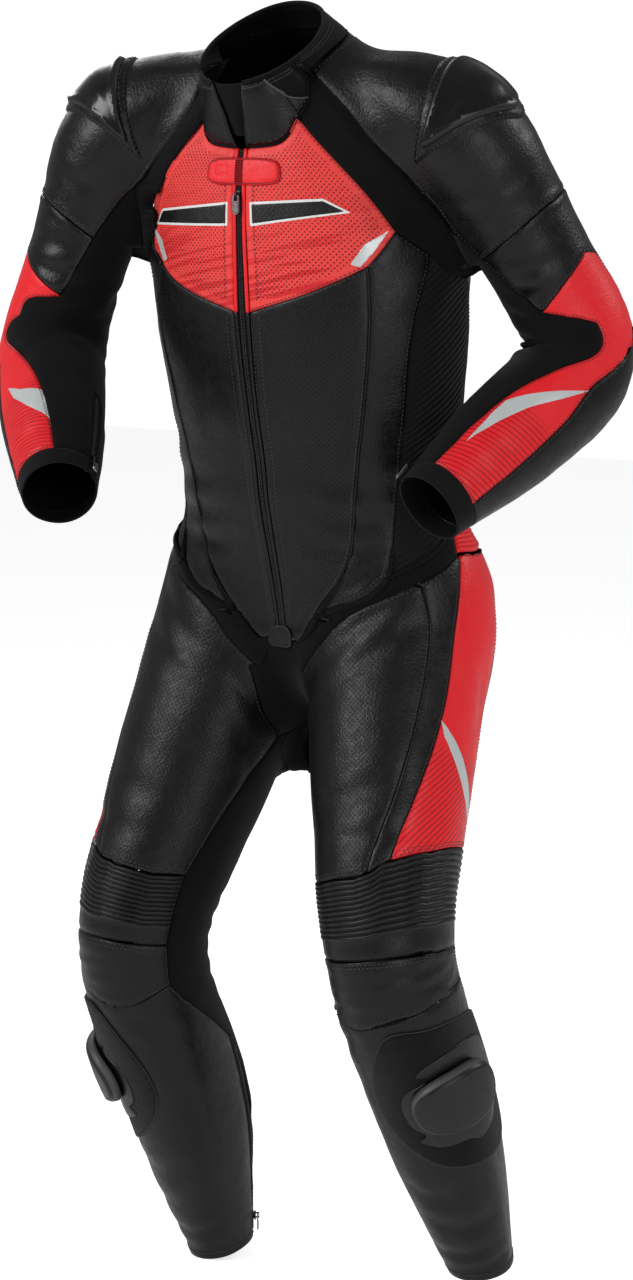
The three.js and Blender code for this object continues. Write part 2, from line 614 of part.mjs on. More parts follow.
/**
 * A sewn piece as one closed solid. Each patch has an outline of points in one
 * chart; patches share points, so they weld. rise(u, v, edge) lifts the outside,
 * base(u, v, edge) lifts both faces, edge being the distance from the outline.
 */
function sewnPiece(patches, { wall = WALL, rise = () => 0, base = () => 0, gap = SEAM_GAP } = {}) {
  const points = new Map();
  const faces = { outer: [], inner: [] };
  patches.forEach((patch, number) => {
    const { chart, side, loop, near = 0, grid = GRID_STEP[chart], rows = null, spine = null } = patch;
    const stretch = rows ? rows.stretch : 1;
    let angle = near;
    const places = loop.map((q) => {
      const place = toChart(chart, side, q.p, angle);
      [, angle] = place;
      return place;
    });
    const ring = places.map((place) => flatten(chart, place));
    places.forEach(([u, v], i) => points.set(loop[i].id, { ...loop[i], u, v, edge: 0 }));
    const scatter = (list, mark, u, v, margin) => {
      const [x, y] = flatten(chart, [u, v]);
      if (!insidePolygon(ring, x, y)) return;
      const edge = outlineDistance(ring, x, y);
      if (edge < margin) return;
      const made = { id: `${number}${mark}${list.length}`, ...onChart(chart, side, u, v), u, v, edge };
      list.push(made);
      points.set(made.id, made);
    };
    const us = places.map(([u]) => u);
    const vs = places.map(([, v]) => v);
    const [loU, hiU, loV, hiV] = [Math.min(...us), Math.max(...us), Math.min(...vs), Math.max(...vs)];
    const plain = [];
    if (spine) spine.forEach(([u, v]) => scatter(plain, 's', u, v, 3));
    else {
      const nV = Math.max(1, Math.round((hiV - loV) * DEG * FLAT_RADIUS[chart] / grid));
      const nU = Math.max(1, Math.round((hiU - loU) / (grid * 0.87)));
      for (let j = 0; j <= nU; j += 1) {
        for (let i = 0; i <= nV; i += 1) {
          scatter(plain, 'p', lerp(loU, hiU, j / nU), lerp(loV, hiV, (i + (j % 2) * 0.5) / nV), grid * 0.5);
        }
      }
    }
    const ribbed = [];
    if (rows) {
      for (const at of rows.at) {
        const n = Math.round((hiV - loV) / rows.stepV);
        for (let i = 0; i <= n; i += 1) {
          const v = lerp(loV, hiV, i / n);
          scatter(ribbed, 'r', rows.top(v) + (rows.foot(v) - rows.top(v)) * at, v, 4);
        }
      }
    }
    const mesh = (extra, wide) => {
      const all = [...loop.map((q) => q.id), ...extra.map((q) => q.id)];
      const flat = all.map((id) => flatten(chart, [points.get(id).u, points.get(id).v], wide));
      let tris = triangulate(flat, loop.length);
      let turn = 0;
      const nrm = vec(0, 0, 0);
      for (const [a, b, c] of tris) {
        const [pa, pb, pc] = [a, b, c].map((k) => points.get(all[k]));
        nrm.crossVectors(pb.p.clone().sub(pa.p), pc.p.clone().sub(pa.p));
        turn += nrm.dot(pa.n);
      }
      if (turn < 0) tris = tris.map(([a, b, c]) => [a, c, b]);
      return tris.map((tri) => tri.map((k) => all[k]));
    };
    const inside = mesh(plain, 1);
    faces.outer.push(...(rows ? mesh(ribbed, stretch) : inside));
    faces.inner.push(...inside);
  });

  // Rim: outer edges used once, moved inward by half the seam gap.
  const seen = new Map();
  for (const [a, b, c] of faces.outer) for (const [x, y] of [[a, b], [b, c], [c, a]]) seen.set(`${x}|${y}`, [x, y]);
  const rim = [...seen.values()].filter(([x, y]) => !seen.has(`${y}|${x}`));
  const shift = new Map();
  for (const [x, y] of rim) {
    const a = points.get(x);
    const b = points.get(y);
    const along = b.p.clone().sub(a.p);
    for (const q of [a, b]) {
      const inward = q.n.clone().cross(along).normalize();
      shift.set(q.id, [...(shift.get(q.id) ?? []), inward]);
    }
  }
  const order = [...points.keys()];
  const index = new Map(order.map((id, i) => [id, i]));
  const positions = [];
  const place = (q, height) => {
    const p = q.p.clone().addScaledVector(q.n, height);
    const pulls = shift.get(q.id);
    if (pulls) {
      const mean = pulls[0].clone().add(pulls[pulls.length - 1]);
      const lean = mean.lengthSq() / 2; // 1 + cosine between the two directions
      p.addScaledVector(mean, (gap / 2) / clamp(lean, 0.35, 2));
    }
    positions.push(p.x, p.y, p.z);
  };
  for (const id of order) {
    const q = points.get(id);
    const low = base(q.u, q.v, q.edge);
    place(q, low + rise(q.u, q.v, q.edge));
  }
  for (const id of order) {
    const q = points.get(id);
    place(q, base(q.u, q.v, q.edge) - wall);
  }
  const n = order.length;
  const list = [];
  for (const tri of faces.outer) list.push(...tri.map((id) => index.get(id)));
  for (const [a, b, c] of faces.inner) list.push(index.get(a) + n, index.get(c) + n, index.get(b) + n);
  for (const [x, y] of rim) {
    const a = index.get(x);
    const b = index.get(y);
    list.push(a, a + n, b, b, a + n, b + n);
  }
  return solidGeometry(positions, list);
}

/** Geometry with only the used vertices. */
function solidGeometry(positions, list) {
  const map = new Map();
  const kept = [];
  const index = list.map((i) => {
    if (!map.has(i)) {
      map.set(i, map.size);
      kept.push(positions[3 * i], positions[3 * i + 1], positions[3 * i + 2]);
    }
    return map.get(i);
  });
  const geometry = new THREE.BufferGeometry();
  geometry.setAttribute('position', new THREE.Float32BufferAttribute(kept, 3));
  geometry.setIndex(index);
  return geometry;
}

// Sewn pieces of one side: chart, start angle of its outline, seams in order.
// An exclamation mark takes the seam from the other side.
const PANELS = {
  chest: ['T', 4, 'zipUpper', 'chestV', 'chestSide', 'chestRaglan', 'collarFront'],
  raglan_strip: ['T', 45, 'collarSide', 'raglan', 'armpitFore', 'flankHead', 'raglanFoot', 'chestRaglan'],
  belly: ['T', 4, 'zipLower', 'hipInner', 'bellySide', 'chestV'],
  side_strip: ['T', 55, 'chestSide', 'raglanFoot', 'stripSide', 'hipMiddle', 'bellySide'],
  flank: ['T', 80, 'flankHead', 'sideSeam', 'lumbarHeadSide', 'hipOuter', 'stripSide'],
  shoulder: ['A', 45, 'collarRear', 'raglan', 'sleeveFront', 'sleeveBand', 'sleeveBack', 'backRaglan'],
  upper_sleeve: ['A', 0, 'sleeveBand', 'upperBack', 'elbowHead', 'redBack', 'redHead', 'upperFront'],
  sleeve_red: ['A', 110, 'redHead', 'redBack', 'foreOuter', 'cuffHeadRed', 'foreInner', 'redHollow'],
  forearm_guard: ['A', 145, 'elbowHead', 'foreBack', 'cuffHeadOut', 'foreOuter'],
  inner_sleeve: ['A', -30, 'armpitFore', 'armpitAft', 'sleeveBack', 'upperBack', 'foreBack', 'cuffHeadBack',
    'cuffZipAft', 'cuffZipFore', 'cuffHeadIn', 'foreInner', 'redHollow', 'upperFront', 'sleeveFront'],
  cuff: ['A', -29, 'cuffHeadIn', 'cuffHeadRed', 'cuffHeadOut', 'cuffHeadBack', 'cuffEndBack', 'cuffHem', 'cuffEndFront'],
  thigh_front: ['L', 50, 'hipHem', 'crotchFront', 'innerSeam', 'kneeHeadIn', 'stripSeam'],
  thigh_strip: ['L', 60, 'hipHemOuter', 'stripSeam', 'kneeHeadStrip', 'redSeam'],
  thigh_red: ['L', 60, 'lumbarHemSide', 'thighSeam', 'kneeHeadOut', 'redSeam'],
  knee_accordion: ['L', -68, 'kneeHeadIn', 'kneeHeadStrip', 'kneeHeadOut', 'kneeSideOut', 'bandHead', 'kneeSideIn'],
  knee_band: ['L', -66, 'bandHead', 'bandSideOut', 'bandFoot', 'bandSideIn'],
  shin: ['L', -70, 'bandFoot', 'shinOuter', 'hemShin', 'ankleZipFore', 'shinInner'],
  leg_back: ['L', 118, 'lumbarHemBack', 'seatSeam', 'crotchBack', 'innerSeam', 'kneeSideIn', 'bandSideIn',
    'shinInner', 'ankleZipAft', 'hemCalf', 'shinOuter', 'bandSideOut', 'kneeSideOut', 'thighSeam'],
};

const LOOKS = {
  leather: { color: 0x1b1b1d, roughness: 0.42 },
  grained: { color: 0x242427, roughness: 0.55 },
  stretch: { color: 0x151517, roughness: 0.95 },
  red: { color: 0xd5191c, roughness: 0.5 },
  plastic: { color: 0x101012, roughness: 0.35 },
  zip: { color: 0x2a2a2c, roughness: 0.6 },
  metal: { color: 0x55565a, roughness: 0.35, metalness: 0.9 },
};
const LOOK_OF = {
  chest: 'red', raglan_strip: 'stretch', belly: 'leather', side_strip: 'leather', flank: 'stretch',
  shoulder: 'grained', upper_sleeve: 'leather', sleeve_red: 'red', forearm_guard: 'leather',
  inner_sleeve: 'stretch', cuff: 'leather', thigh_front: 'leather', thigh_strip: 'leather',
  thigh_red: 'red', knee_accordion: 'leather', knee_band: 'leather', shin: 'leather', leg_back: 'stretch',
};

const suit = new THREE.Group();
suit.name = 'race_suit';
function addMesh(name, geometry, look) {
  const mesh = new THREE.Mesh(geometry, new THREE.MeshStandardMaterial({ metalness: 0, ...LOOKS[look] }));
  mesh.name = name;
  suit.add(mesh);
  return mesh;
}

// Each sewn piece is kept, so that what lies on it can be fitted to it.
const fitted = new Map();
function addSewn(name, patches, look, options = {}) {
  fitted.set(name, { patches, options });
  return addMesh(name, sewnPiece(patches, options), look);
}

// Accordion ribs: crests and valleys between the outer faces of two seams.
function ribRows(count, first, last) {
  const at = [];
  for (let k = 0; k <= count * 2; k += 1) at.push(lerp(first, last, k / (count * 2)));
  return at;
}
const KNEE = {
  ribs: 9, height: 2.4, first: 0.05, last: 0.72,
  top: (v) => (v < 7 ? 350 : lerp(352, 300, smoothstep(v, 10, 118))), foot: (v) => 425,
};
const LUMBAR = { ribs: 5, height: 2.6, first: 0.1, last: 0.9, top: () => -478, foot: () => -531 };
function ribRise(set) {
  return (u, v, edge) => {
    const at = (u - set.top(v)) / (set.foot(v) - set.top(v));
    const k = ((at - set.first) / (set.last - set.first)) * set.ribs;
    if (k < 0 || k > set.ribs) return 0;
    return set.height * 0.5 * (1 - Math.cos(k * 2 * Math.PI)) * clamp(edge / 10, 0, 1);
  };
}

for (const side of [LEFT, RIGHT]) {
  for (const [name, [chart, near, ...seams]] of Object.entries(PANELS)) {
    const patch = { chart, side, near, loop: outline(seams, side) };
    const options = {};
    if (name === 'knee_accordion') {
      patch.rows = { at: ribRows(KNEE.ribs, KNEE.first, KNEE.last), top: KNEE.top, foot: KNEE.foot, stepV: 17, stretch: 5 };
      options.rise = ribRise(KNEE);
    }
    addSewn(`${name}_${TAG[side]}`, [patch], LOOK_OF[name], options);
  }
}

// Sewn pieces that reach across the middle
const lumbarPatch = {
  chart: 'T', side: LEFT, near: 90,
  loop: outline(['lumbarEnd', 'lumbarHeadSide', 'lumbarHeadBack', 'lumbarHeadSide!', 'lumbarEnd!',
    'lumbarHemSide!', 'lumbarHemBack!', 'lumbarHemBack', 'lumbarHemSide'], LEFT),
  rows: { at: ribRows(LUMBAR.ribs, LUMBAR.first, LUMBAR.last), top: LUMBAR.top, foot: LUMBAR.foot, stepV: 10, stretch: 4 },
};
addSewn('lumbar_accordion', [lumbarPatch], 'red', { rise: ribRise(LUMBAR) });

addSewn('back_upper', [{
  chart: 'T', side: LEFT, near: 235,
  loop: outline(['collarNape', 'backRaglan', 'armpitAft', 'sideSeam', 'lumbarHeadBack',
    'sideSeam!', 'armpitAft!', 'backRaglan!'], LEFT),
}], 'leather');

const hipPatch = (side) => ({
  chart: 'T', side, near: 4,
  loop: outline(['hipInner', 'hipMiddle', 'hipOuter', 'lumbarEnd', 'hipHemOuter', 'hipHem', 'groinCut'], side),
});
const crotchPatch = {
  chart: 'G', side: LEFT, near: 10,
  loop: outline(['crotchHead', 'groinCut', 'crotchFront', 'crotchBack', 'crotchBack!', 'crotchFront!', 'groinCut!'], LEFT),
  spine: [32, 50, 68, 86, 104, 122, 138].map((angle) => [0, angle]),
};
addSewn('gusset', [hipPatch(LEFT), hipPatch(RIGHT), crotchPatch], 'stretch');

// Stand collar: from the neck seam up to a rim that leans forward with the neck.
// A V is open in front, and a bib closes it from inside.
const COLLAR = { wall: 3, rows: 4, rimX: 72, rimY: 75, rimZ: 48.5, y: -34, z: 79.5, bulge: 1, tuck: 0.7, notch: 17 };
const BIB = { wall: 2, rows: 3, columns: 8, reach: 32, inside: 1.15, foot: 0.22 };
// Where on the rim, in degrees from the front, each place on the neck seam leads
const COLLAR_LEAN = [
  { at: 0, rim: 0 }, { at: 38, rim: 45 }, { at: 55, rim: 75 }, { at: 96, rim: 122 },
  { at: 128, rim: 146 }, { at: 180, rim: 180 },
];
function rimPoint(degrees, inset = 0) {
  const a = degrees * DEG;
  return vec((COLLAR.rimX - inset) * Math.sin(a), COLLAR.y - (COLLAR.rimY - inset) * Math.cos(a),
    COLLAR.z - COLLAR.rimZ * Math.cos(a));
}
/** Closed solid from rows of outer points; the inner face lies one wall deeper. */
function sheet(rows, wall) {
  const h = rows.length;
  const w = rows[0].length;
  const positions = [];
  const at = (j, i) => rows[clamp(j, 0, h - 1)][clamp(i, 0, w - 1)];
  rows.forEach((row) => row.forEach((p) => positions.push(p.x, p.y, p.z)));
  rows.forEach((row, j) => row.forEach((p, i) => {
    const across = at(j, i + 1).clone().sub(at(j, i - 1));
    const along = at(j + 1, i).clone().sub(at(j - 1, i));
    const q = p.clone().addScaledVector(across.cross(along).normalize(), -wall);
    positions.push(q.x, q.y, q.z);
  }));
  const n = w * h;
  const list = [];
  const quad = (a, b, c, d) => list.push(a, b, c, a, c, d);
  for (let j = 0; j < h - 1; j += 1) {
    for (let i = 0; i < w - 1; i += 1) {
      const a = j * w + i;
      quad(a, a + 1, a + w + 1, a + w);
      quad(n + a, n + a + w, n + a + w + 1, n + a + 1);
    }
    quad(j * w, (j + 1) * w, n + (j + 1) * w, n + j * w);
    const b = j * w + w - 1;
    quad(b + w, b, n + b, n + b + w);
  }
  for (let i = 0; i < w - 1; i += 1) {
    quad(i + 1, i, n + i, n + i + 1);
    const a = (h - 1) * w + i;
    quad(a, a + 1, n + a + 1, n + a);
  }
  return solidGeometry(positions, list);
}
function collarGeometry() {
  const half = (side) => [...seamPoints('collarFront', side), ...seamPoints('collarSide', side).slice(1),
    ...seamPoints('collarRear', side).slice(1)];
  const seam = [...half(RIGHT), ...[...seamPoints('collarNape', LEFT)].reverse().slice(1, -1), ...half(LEFT).reverse()];
  const rows = [];
  for (let j = 0; j <= COLLAR.rows; j += 1) {
    const t = j / COLLAR.rows;
    rows.push(seam.map(({ p, n }) => {
      const angle = toChart('T', LEFT, p)[1];
      const open = Math.max(section(COLLAR_LEAN, Math.abs(angle)).rim, COLLAR.notch);
      const top = rimPoint(Math.sign(angle) * open);
      const out = vec(Math.sin(angle * DEG), -Math.cos(angle * DEG), 0);
      const foot = p.clone().add(vec(0, 0, SEAM_GAP)).addScaledVector(out, -COLLAR.tuck);
      return foot.lerp(top, t).addScaledVector(out, COLLAR.bulge * Math.sin(t * Math.PI));
    }));
  }
  return sheet(rows, COLLAR.wall);
}
function bibGeometry() {
  const seam = seamPoints('collarFront', LEFT)[0].p;
  const foot = vec(0, seam.y + BIB.inside + 1, seam.z);
  const rows = [];
  for (let j = 0; j <= BIB.rows; j += 1) {
    const t = lerp(BIB.foot, 1, j / BIB.rows);
    const row = [];
    for (let i = 0; i <= BIB.columns; i += 1) {
      const across = lerp(-1, 1, i / BIB.columns);
      const rim = rimPoint(across * BIB.reach, BIB.inside);
      const low = vec(rim.x * 0.55, foot.y + Math.abs(across) ** 2 * 12, foot.z + Math.abs(across) ** 2 * 12);
      row.push(low.lerp(rim, t));
    }
    rows.push(row);
  }
  return sheet(rows, BIB.wall);
}
addMesh('collar', collarGeometry(), 'stretch');
addMesh('collar_bib', bibGeometry(), 'stretch');

// Pieces that lie on the cloth: a rounded outline on a chart, lifted off it and
// trimmed underneath to a small gap over what they lie on.
const manifoldModule = await Module();
manifoldModule.setup();
function toSolid(geometry) {
  const clean = geometry.clone();
  clean.deleteAttribute('normal');
  clean.deleteAttribute('uv');
  const merged = mergeVertices(clean, 1e-4);
  return new manifoldModule.Manifold(new manifoldModule.Mesh({
    numProp: 3,
    vertProperties: new Float32Array(merged.attributes.position.array),
    triVerts: new Uint32Array(merged.index.array),
  }));
}
function fromSolid(solid) {
  const mesh = solid.getMesh();
  const geometry = new THREE.BufferGeometry();
  geometry.setAttribute('position', new THREE.Float32BufferAttribute(mesh.vertProperties, 3));
  geometry.setIndex([...mesh.triVerts]);
  return geometry;
}
function largest(solid) {
  const parts = solid.decompose();
  return parts.reduce((best, part) => (part.volume() > best.volume() ? part : best), parts[0]);
}
function roundedOutline({ chart, side, u, v, halfU, halfV, power, turn = 0, taper = 0 }, count, name) {
  const loop = [];
  for (let k = 0; k < count; k += 1) {
    const t = (k / count) * 2 * Math.PI;
    const c = Math.sign(Math.cos(t)) * Math.abs(Math.cos(t)) ** (2 / power);
    const s = Math.sign(Math.sin(t)) * Math.abs(Math.sin(t)) ** (2 / power);
    const du = halfU * c + turn * halfU * s;
    const dv = halfV * s * (1 + taper * c);
    loop.push({ id: `${name}#${k}`, ...onChart(chart, side, u + du, v + dv) });
  }
  return loop;
}
const REST = 0.3; // gap under a piece that lies on another
const SINK = 3.5; // how deep it starts before it is trimmed
function layOn(name, place, { on, wall, lift = () => 0, rise = () => 0, solid = false, count = 20, grid }, look) {
  const patch = { ...place, near: place.v, loop: roundedOutline(place, count, name), grid };
  const radial = (u, v) => Math.min(1, Math.hypot((u - place.u) / place.halfU, (v - place.v) / place.halfV));
  const options = {
    wall: wall + (solid ? SINK : 0),
    gap: 0,
    base: (u, v, edge) => wall + lift(radial(u, v), edge, v) - (solid ? 0 : SINK * (1 - smoothstep(edge, 0, 6))),
    rise: (u, v, edge) => rise(radial(u, v), edge) + (solid ? 0 : SINK * (1 - smoothstep(edge, 0, 6))),
  };
  if (!solid) options.wall = wall;
  fitted.set(name, { patches: [patch], options });
  let body = toSolid(sewnPiece([patch], options));
  for (const under of on) {
    const { patches, options: below } = fitted.get(under);
    const base = below.base ?? (() => 0);
    const cutter = sewnPiece(patches, { ...below, wall: (below.wall ?? WALL) + 2 * SINK, gap: -2, base: (...at) => base(...at) + REST });
    body = body.subtract(toSolid(cutter));
  }
  addMesh(name, fromSolid(largest(body)), look);
}
layOn('hump', { chart: 'T', side: LEFT, u: -86, v: 180, halfU: 138, halfV: 40, power: 2.3, taper: 0.18 }, {
  on: ['back_upper'], wall: 2.5, count: 26, grid: 34,
  lift: (r, edge) => 52 * smoothstep(edge, 0, 62),
}, 'leather');
for (const side of [LEFT, RIGHT]) {
  const tag = TAG[side];
  layOn(`shoulder_cup_${tag}`, {
    chart: 'A', side, u: 192, v: side === LEFT ? 70 : 62, halfU: 42, halfV: 66, power: 2.8, turn: 0.12,
  }, {
    on: [`shoulder_${tag}`], wall: 3.4, count: 28, grid: 24,
    lift: (r, edge) => 9 * smoothstep(edge, 0, 16) + 5 * smoothstep(edge, 12, 44),
  }, 'plastic');
  const slider = { chart: 'L', side, v: 50 };
  layOn(`slider_patch_${tag}`, { ...slider, u: 606, halfU: 100, halfV: 76, turn: 0.1, power: 2.6 }, {
    on: [`shin_${tag}`], wall: 3.6, solid: true, count: 28, grid: 23,
  }, 'stretch');
  layOn(`knee_slider_${tag}`, { ...slider, u: 596, halfU: 44, halfV: 38, power: 2.2 }, {
    on: [`slider_patch_${tag}`], wall: 4, solid: true, count: 20, grid: 16,
    rise: (r, edge) => 15 * smoothstep(edge, -2, 9) + 5 * (1 - r * r),
  }, 'plastic');
}

// Zips: tape with a coil along its middle, and a slider fused to it.
/** Frame on the cloth: x across the zip, y along it towards its closed end's far side, z outward. */
function zipFrame({ chart, side, u, v, back }) {
  const here = onChart(chart, side, u, v);
  const up = onChart(chart, side, u + back, v).p.sub(here.p);
  const z = here.n;
  const y = up.addScaledVector(z, -up.dot(z)).normalize();
  const x = y.clone().cross(z);
  return new THREE.Matrix4().makeBasis(x, y, z).setPosition(here.p);
}
function block(x, y, z, cx, cy, cz) {
  return new THREE.BoxGeometry(x, y, z).translate(cx, cy, cz);
}
const COIL = 1.4; // height of the zip coil above its tape
const SLIDER = { width: 8.4, length: 12, low: -0.8, high: 4 };
const BRIDGE = { width: 2, length: 8, height: 4.6, hole: 4.8, wall: 0.7 };
const TAB = { width: 9, length: 22, thick: 1.8, window: 4.4, windowEnd: 6.2, bar: 0.9 };
const PIVOT_HEIGHT = SLIDER.high + 2.3;
function sliderSolid(frame) {
  const body = toSolid(block(SLIDER.width, SLIDER.length, SLIDER.high - SLIDER.low, 0, 0, (SLIDER.high + SLIDER.low) / 2));
  const bridge = toSolid(block(BRIDGE.width, BRIDGE.length, BRIDGE.height + 0.4, 0, 0, SLIDER.high + BRIDGE.height / 2 - 0.2));
  const hole = toSolid(block(BRIDGE.width + 2, BRIDGE.hole, BRIDGE.height - BRIDGE.wall - 0.4, 0, 0,
    SLIDER.high + 0.4 + (BRIDGE.height - BRIDGE.wall - 0.4) / 2));
  const geometry = fromSolid(body.add(bridge.subtract(hole)));
  return toSolid(geometry.applyMatrix4(frame));
}
function tabGeometry() {
  const plate = toSolid(block(TAB.width, TAB.length, TAB.thick, 0, TAB.bar - TAB.length / 2, 0));
  const window = toSolid(block(TAB.window, TAB.windowEnd - TAB.bar, TAB.thick + 2, 0, -(TAB.windowEnd + TAB.bar) / 2, 0));
  return fromSolid(plate.subtract(window));
}
function zip(name, pullName, patch, place) {
  const options = { wall: 1.6, rise: (u, v, edge) => (edge > 3 ? COIL : 0) };
  fitted.set(name, { patches: [patch], options });
  const tape = sewnPiece([patch], options);
  const frame = zipFrame(place);
  addMesh(name, fromSolid(toSolid(tape).add(sliderSolid(frame))), 'zip');
  const pull = addMesh(pullName, tabGeometry(), 'metal');
  pull.applyMatrix4(frame.multiply(new THREE.Matrix4().makeTranslation(0, 0, PIVOT_HEIGHT)));
}
const stops = (from, to, count, v) => Array.from({ length: count + 1 }, (_, k) => [lerp(from, to, k / count), v]);
zip('zip_main', 'zip_main_pull', {
  chart: 'T', side: LEFT, near: 4, spine: stops(-58, -604, 17, 0),
  loop: outline(['zipUpper', 'zipLower', 'crotchHead', 'zipLower!', 'zipUpper!', 'zipHead'], LEFT),
}, { chart: 'T', side: LEFT, u: -96, v: 0, back: 12 });
for (const side of [LEFT, RIGHT]) {
  const tag = TAG[side];
  zip(`cuff_zip_${tag}`, `cuff_pull_${tag}`, {
    chart: 'A', side, near: -30, spine: stops(684, 800, 4, -36.5),
    loop: outline(['cuffZipFore', 'cuffEndFront', 'cuffHemZip', 'cuffEndBack', 'cuffZipAft'], side),
  }, { chart: 'A', side, u: 786, v: -36.5, back: -12 });
  zip(`ankle_zip_${tag}`, `ankle_pull_${tag}`, {
    chart: 'L', side, near: -136, spine: stops(640, 876, 8, -142),
    loop: outline(['ankleZipFore', 'hemZip', 'ankleZipAft'], side),
  }, { chart: 'L', side, u: 862, v: -142, back: -12 });
}

// Across the zip: the strap at the throat and the tongue at its lower end
layOn('throat_strap', { chart: 'T', side: LEFT, u: -68, v: 2, halfU: 16, halfV: 22, power: 4 }, {
  on: ['chest_L', 'chest_R', 'zip_main'], wall: 5.2, solid: true, count: 24, grid: 14,
}, 'red');
layOn('zip_guard', { chart: 'T', side: LEFT, u: -624, v: 0, halfU: 15, halfV: 10, power: 3 }, {
  on: ['belly_L', 'belly_R', 'gusset', 'zip_main'], wall: 3.2, solid: true, count: 16, grid: 12,
}, 'leather');

// Where two pieces meet in a fold, the first is cut back to a small gap from the second.
const CUT_BACK = [
  ['flank_L', 'raglan_strip_L'], ['inner_sleeve_L', 'raglan_strip_L'], ['shoulder_R', 'back_upper'],
  ['leg_back_R', 'gusset'], ['leg_back_L', 'gusset'], ['collar', 'raglan_strip_L'], ['collar', 'shoulder_L'],
  ['collar', 'raglan_strip_R'], ['collar', 'shoulder_R'], ['flank_R', 'back_upper'], ['inner_sleeve_L', 'shoulder_L'],
  ['chest_R', 'raglan_strip_R'], ['flank_R', 'side_strip_R'], ['flank_R', 'raglan_strip_R'],
  ['inner_sleeve_R', 'back_upper'], ['inner_sleeve_R', 'shoulder_R'],
];
for (const [name, by] of CUT_BACK) {
  const mesh = suit.getObjectByName(name);
  const { patches, options } = fitted.get(by);
  const base = options.base ?? (() => 0);
  const cutter = sewnPiece(patches, { ...options, wall: (options.wall ?? WALL) + 2 * REST, gap: 0.1, base: (...at) => base(...at) + REST });
  mesh.geometry = fromSolid(largest(toSolid(mesh.geometry).subtract(toSolid(cutter))));
}

export default suit;
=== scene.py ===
"""Motorcycle race suit: the visible cloth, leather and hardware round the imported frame.

Sizes are in millimetres on the figure's own charts and become metres in each mesh.
+Z is up, the chest faces -Y and the wearer's left is +X.
"""

import math
from functools import partial

import bmesh
import bpy
import numpy as np
from mathutils import Matrix, Vector, noise
from mathutils.bvhtree import BVHTree
from mathutils.geometry import delaunay_2d_cdt


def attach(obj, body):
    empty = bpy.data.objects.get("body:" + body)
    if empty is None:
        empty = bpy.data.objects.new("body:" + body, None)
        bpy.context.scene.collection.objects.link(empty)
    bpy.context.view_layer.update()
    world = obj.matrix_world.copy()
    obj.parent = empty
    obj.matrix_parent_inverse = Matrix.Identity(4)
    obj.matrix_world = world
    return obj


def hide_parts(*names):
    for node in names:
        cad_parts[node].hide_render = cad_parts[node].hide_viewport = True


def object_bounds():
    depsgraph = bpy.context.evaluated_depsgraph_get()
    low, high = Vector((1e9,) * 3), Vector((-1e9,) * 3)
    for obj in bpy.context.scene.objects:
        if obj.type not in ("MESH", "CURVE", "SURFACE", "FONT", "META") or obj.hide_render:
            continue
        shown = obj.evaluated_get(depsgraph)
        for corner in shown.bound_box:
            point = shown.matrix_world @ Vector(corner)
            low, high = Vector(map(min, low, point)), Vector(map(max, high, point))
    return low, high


bl_info = {
    "name": "Motorcycle race suit",
    "version": (1, 0, 0),
    "blender": (4, 5, 0),
    "location": "View3D > Sidebar > Race suit",
    "description": "Cuts, sews and dresses a one-piece leather race suit over its packed frame",
    "category": "Object",
}

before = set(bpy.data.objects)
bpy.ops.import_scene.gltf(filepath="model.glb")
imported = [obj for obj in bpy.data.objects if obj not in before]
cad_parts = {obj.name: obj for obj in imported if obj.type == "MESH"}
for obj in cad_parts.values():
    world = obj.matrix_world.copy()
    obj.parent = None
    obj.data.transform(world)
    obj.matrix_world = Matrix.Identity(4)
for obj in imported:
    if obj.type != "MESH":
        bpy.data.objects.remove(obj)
CAD_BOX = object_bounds()

MM = 0.001
LEFT, RIGHT = 1, -1
TAG = {LEFT: "L", RIGHT: "R"}
WORD = {LEFT: "left", RIGHT: "right"}
SUIT_BODY = "suit"


# Body form

class Sections:
    """Columns of sizes at places along a form, with smooth values between them."""

    def __init__(self, columns, *rows):
        data = np.array(sorted(rows), float)
        self.at = data[:, 0]
        self.names = columns.split()[1:]
        self.data = data[:, 1:]
        last = len(self.at) - 1
        before = np.maximum(np.arange(last + 1) - 1, 0)
        after = np.minimum(np.arange(last + 1) + 1, last)
        self.slope = (self.data[after] - self.data[before]) / (self.at[after] - self.at[before])[:, None]

    def __call__(self, at):
        at = np.asarray(at, float)
        i = np.clip(np.searchsorted(self.at, at, side="right") - 1, 0, len(self.at) - 2)
        span = (self.at[i + 1] - self.at[i])[..., None]
        t = np.clip((at - self.at[i])[..., None] / span, 0, 1)
        value = (
            self.data[i] * (2 * t**3 - 3 * t**2 + 1)
            + self.slope[i] * span * (t**3 - 2 * t**2 + t)
            + self.data[i + 1] * (3 * t**2 - 2 * t**3)
            + self.slope[i + 1] * span * (t**3 - t**2)
        )
        return {name: value[..., k] for k, name in enumerate(self.names)}


# Trunk by height: how far back its middle lies, half width, depth before and
# behind the middle, and how square the outline is.
TRUNK = Sections(
    "at y half front back square",
    (120, 8, 62, 40, 44, 2.0), (90, 20, 68, 48, 54, 2.0), (55, 26, 80, 62, 84, 2.0),
    (20, 30, 102, 80, 106, 2.0), (-20, 38, 132, 106, 118, 2.1), (-60, 46, 160, 126, 126, 2.2),
    (-120, 58, 184, 140, 132, 2.3), (-180, 67, 196, 147, 132, 2.3), (-250, 75, 198, 150, 124, 2.3),
    (-335, 84, 191, 145, 114, 2.2), (-410, 88, 182, 132, 108, 2.2), (-458, 88, 179, 124, 108, 2.2),
    (-510, 94, 188, 116, 116, 2.2), (-560, 104, 202, 112, 122, 2.2), (-610, 110, 204, 104, 124, 2.2),
)
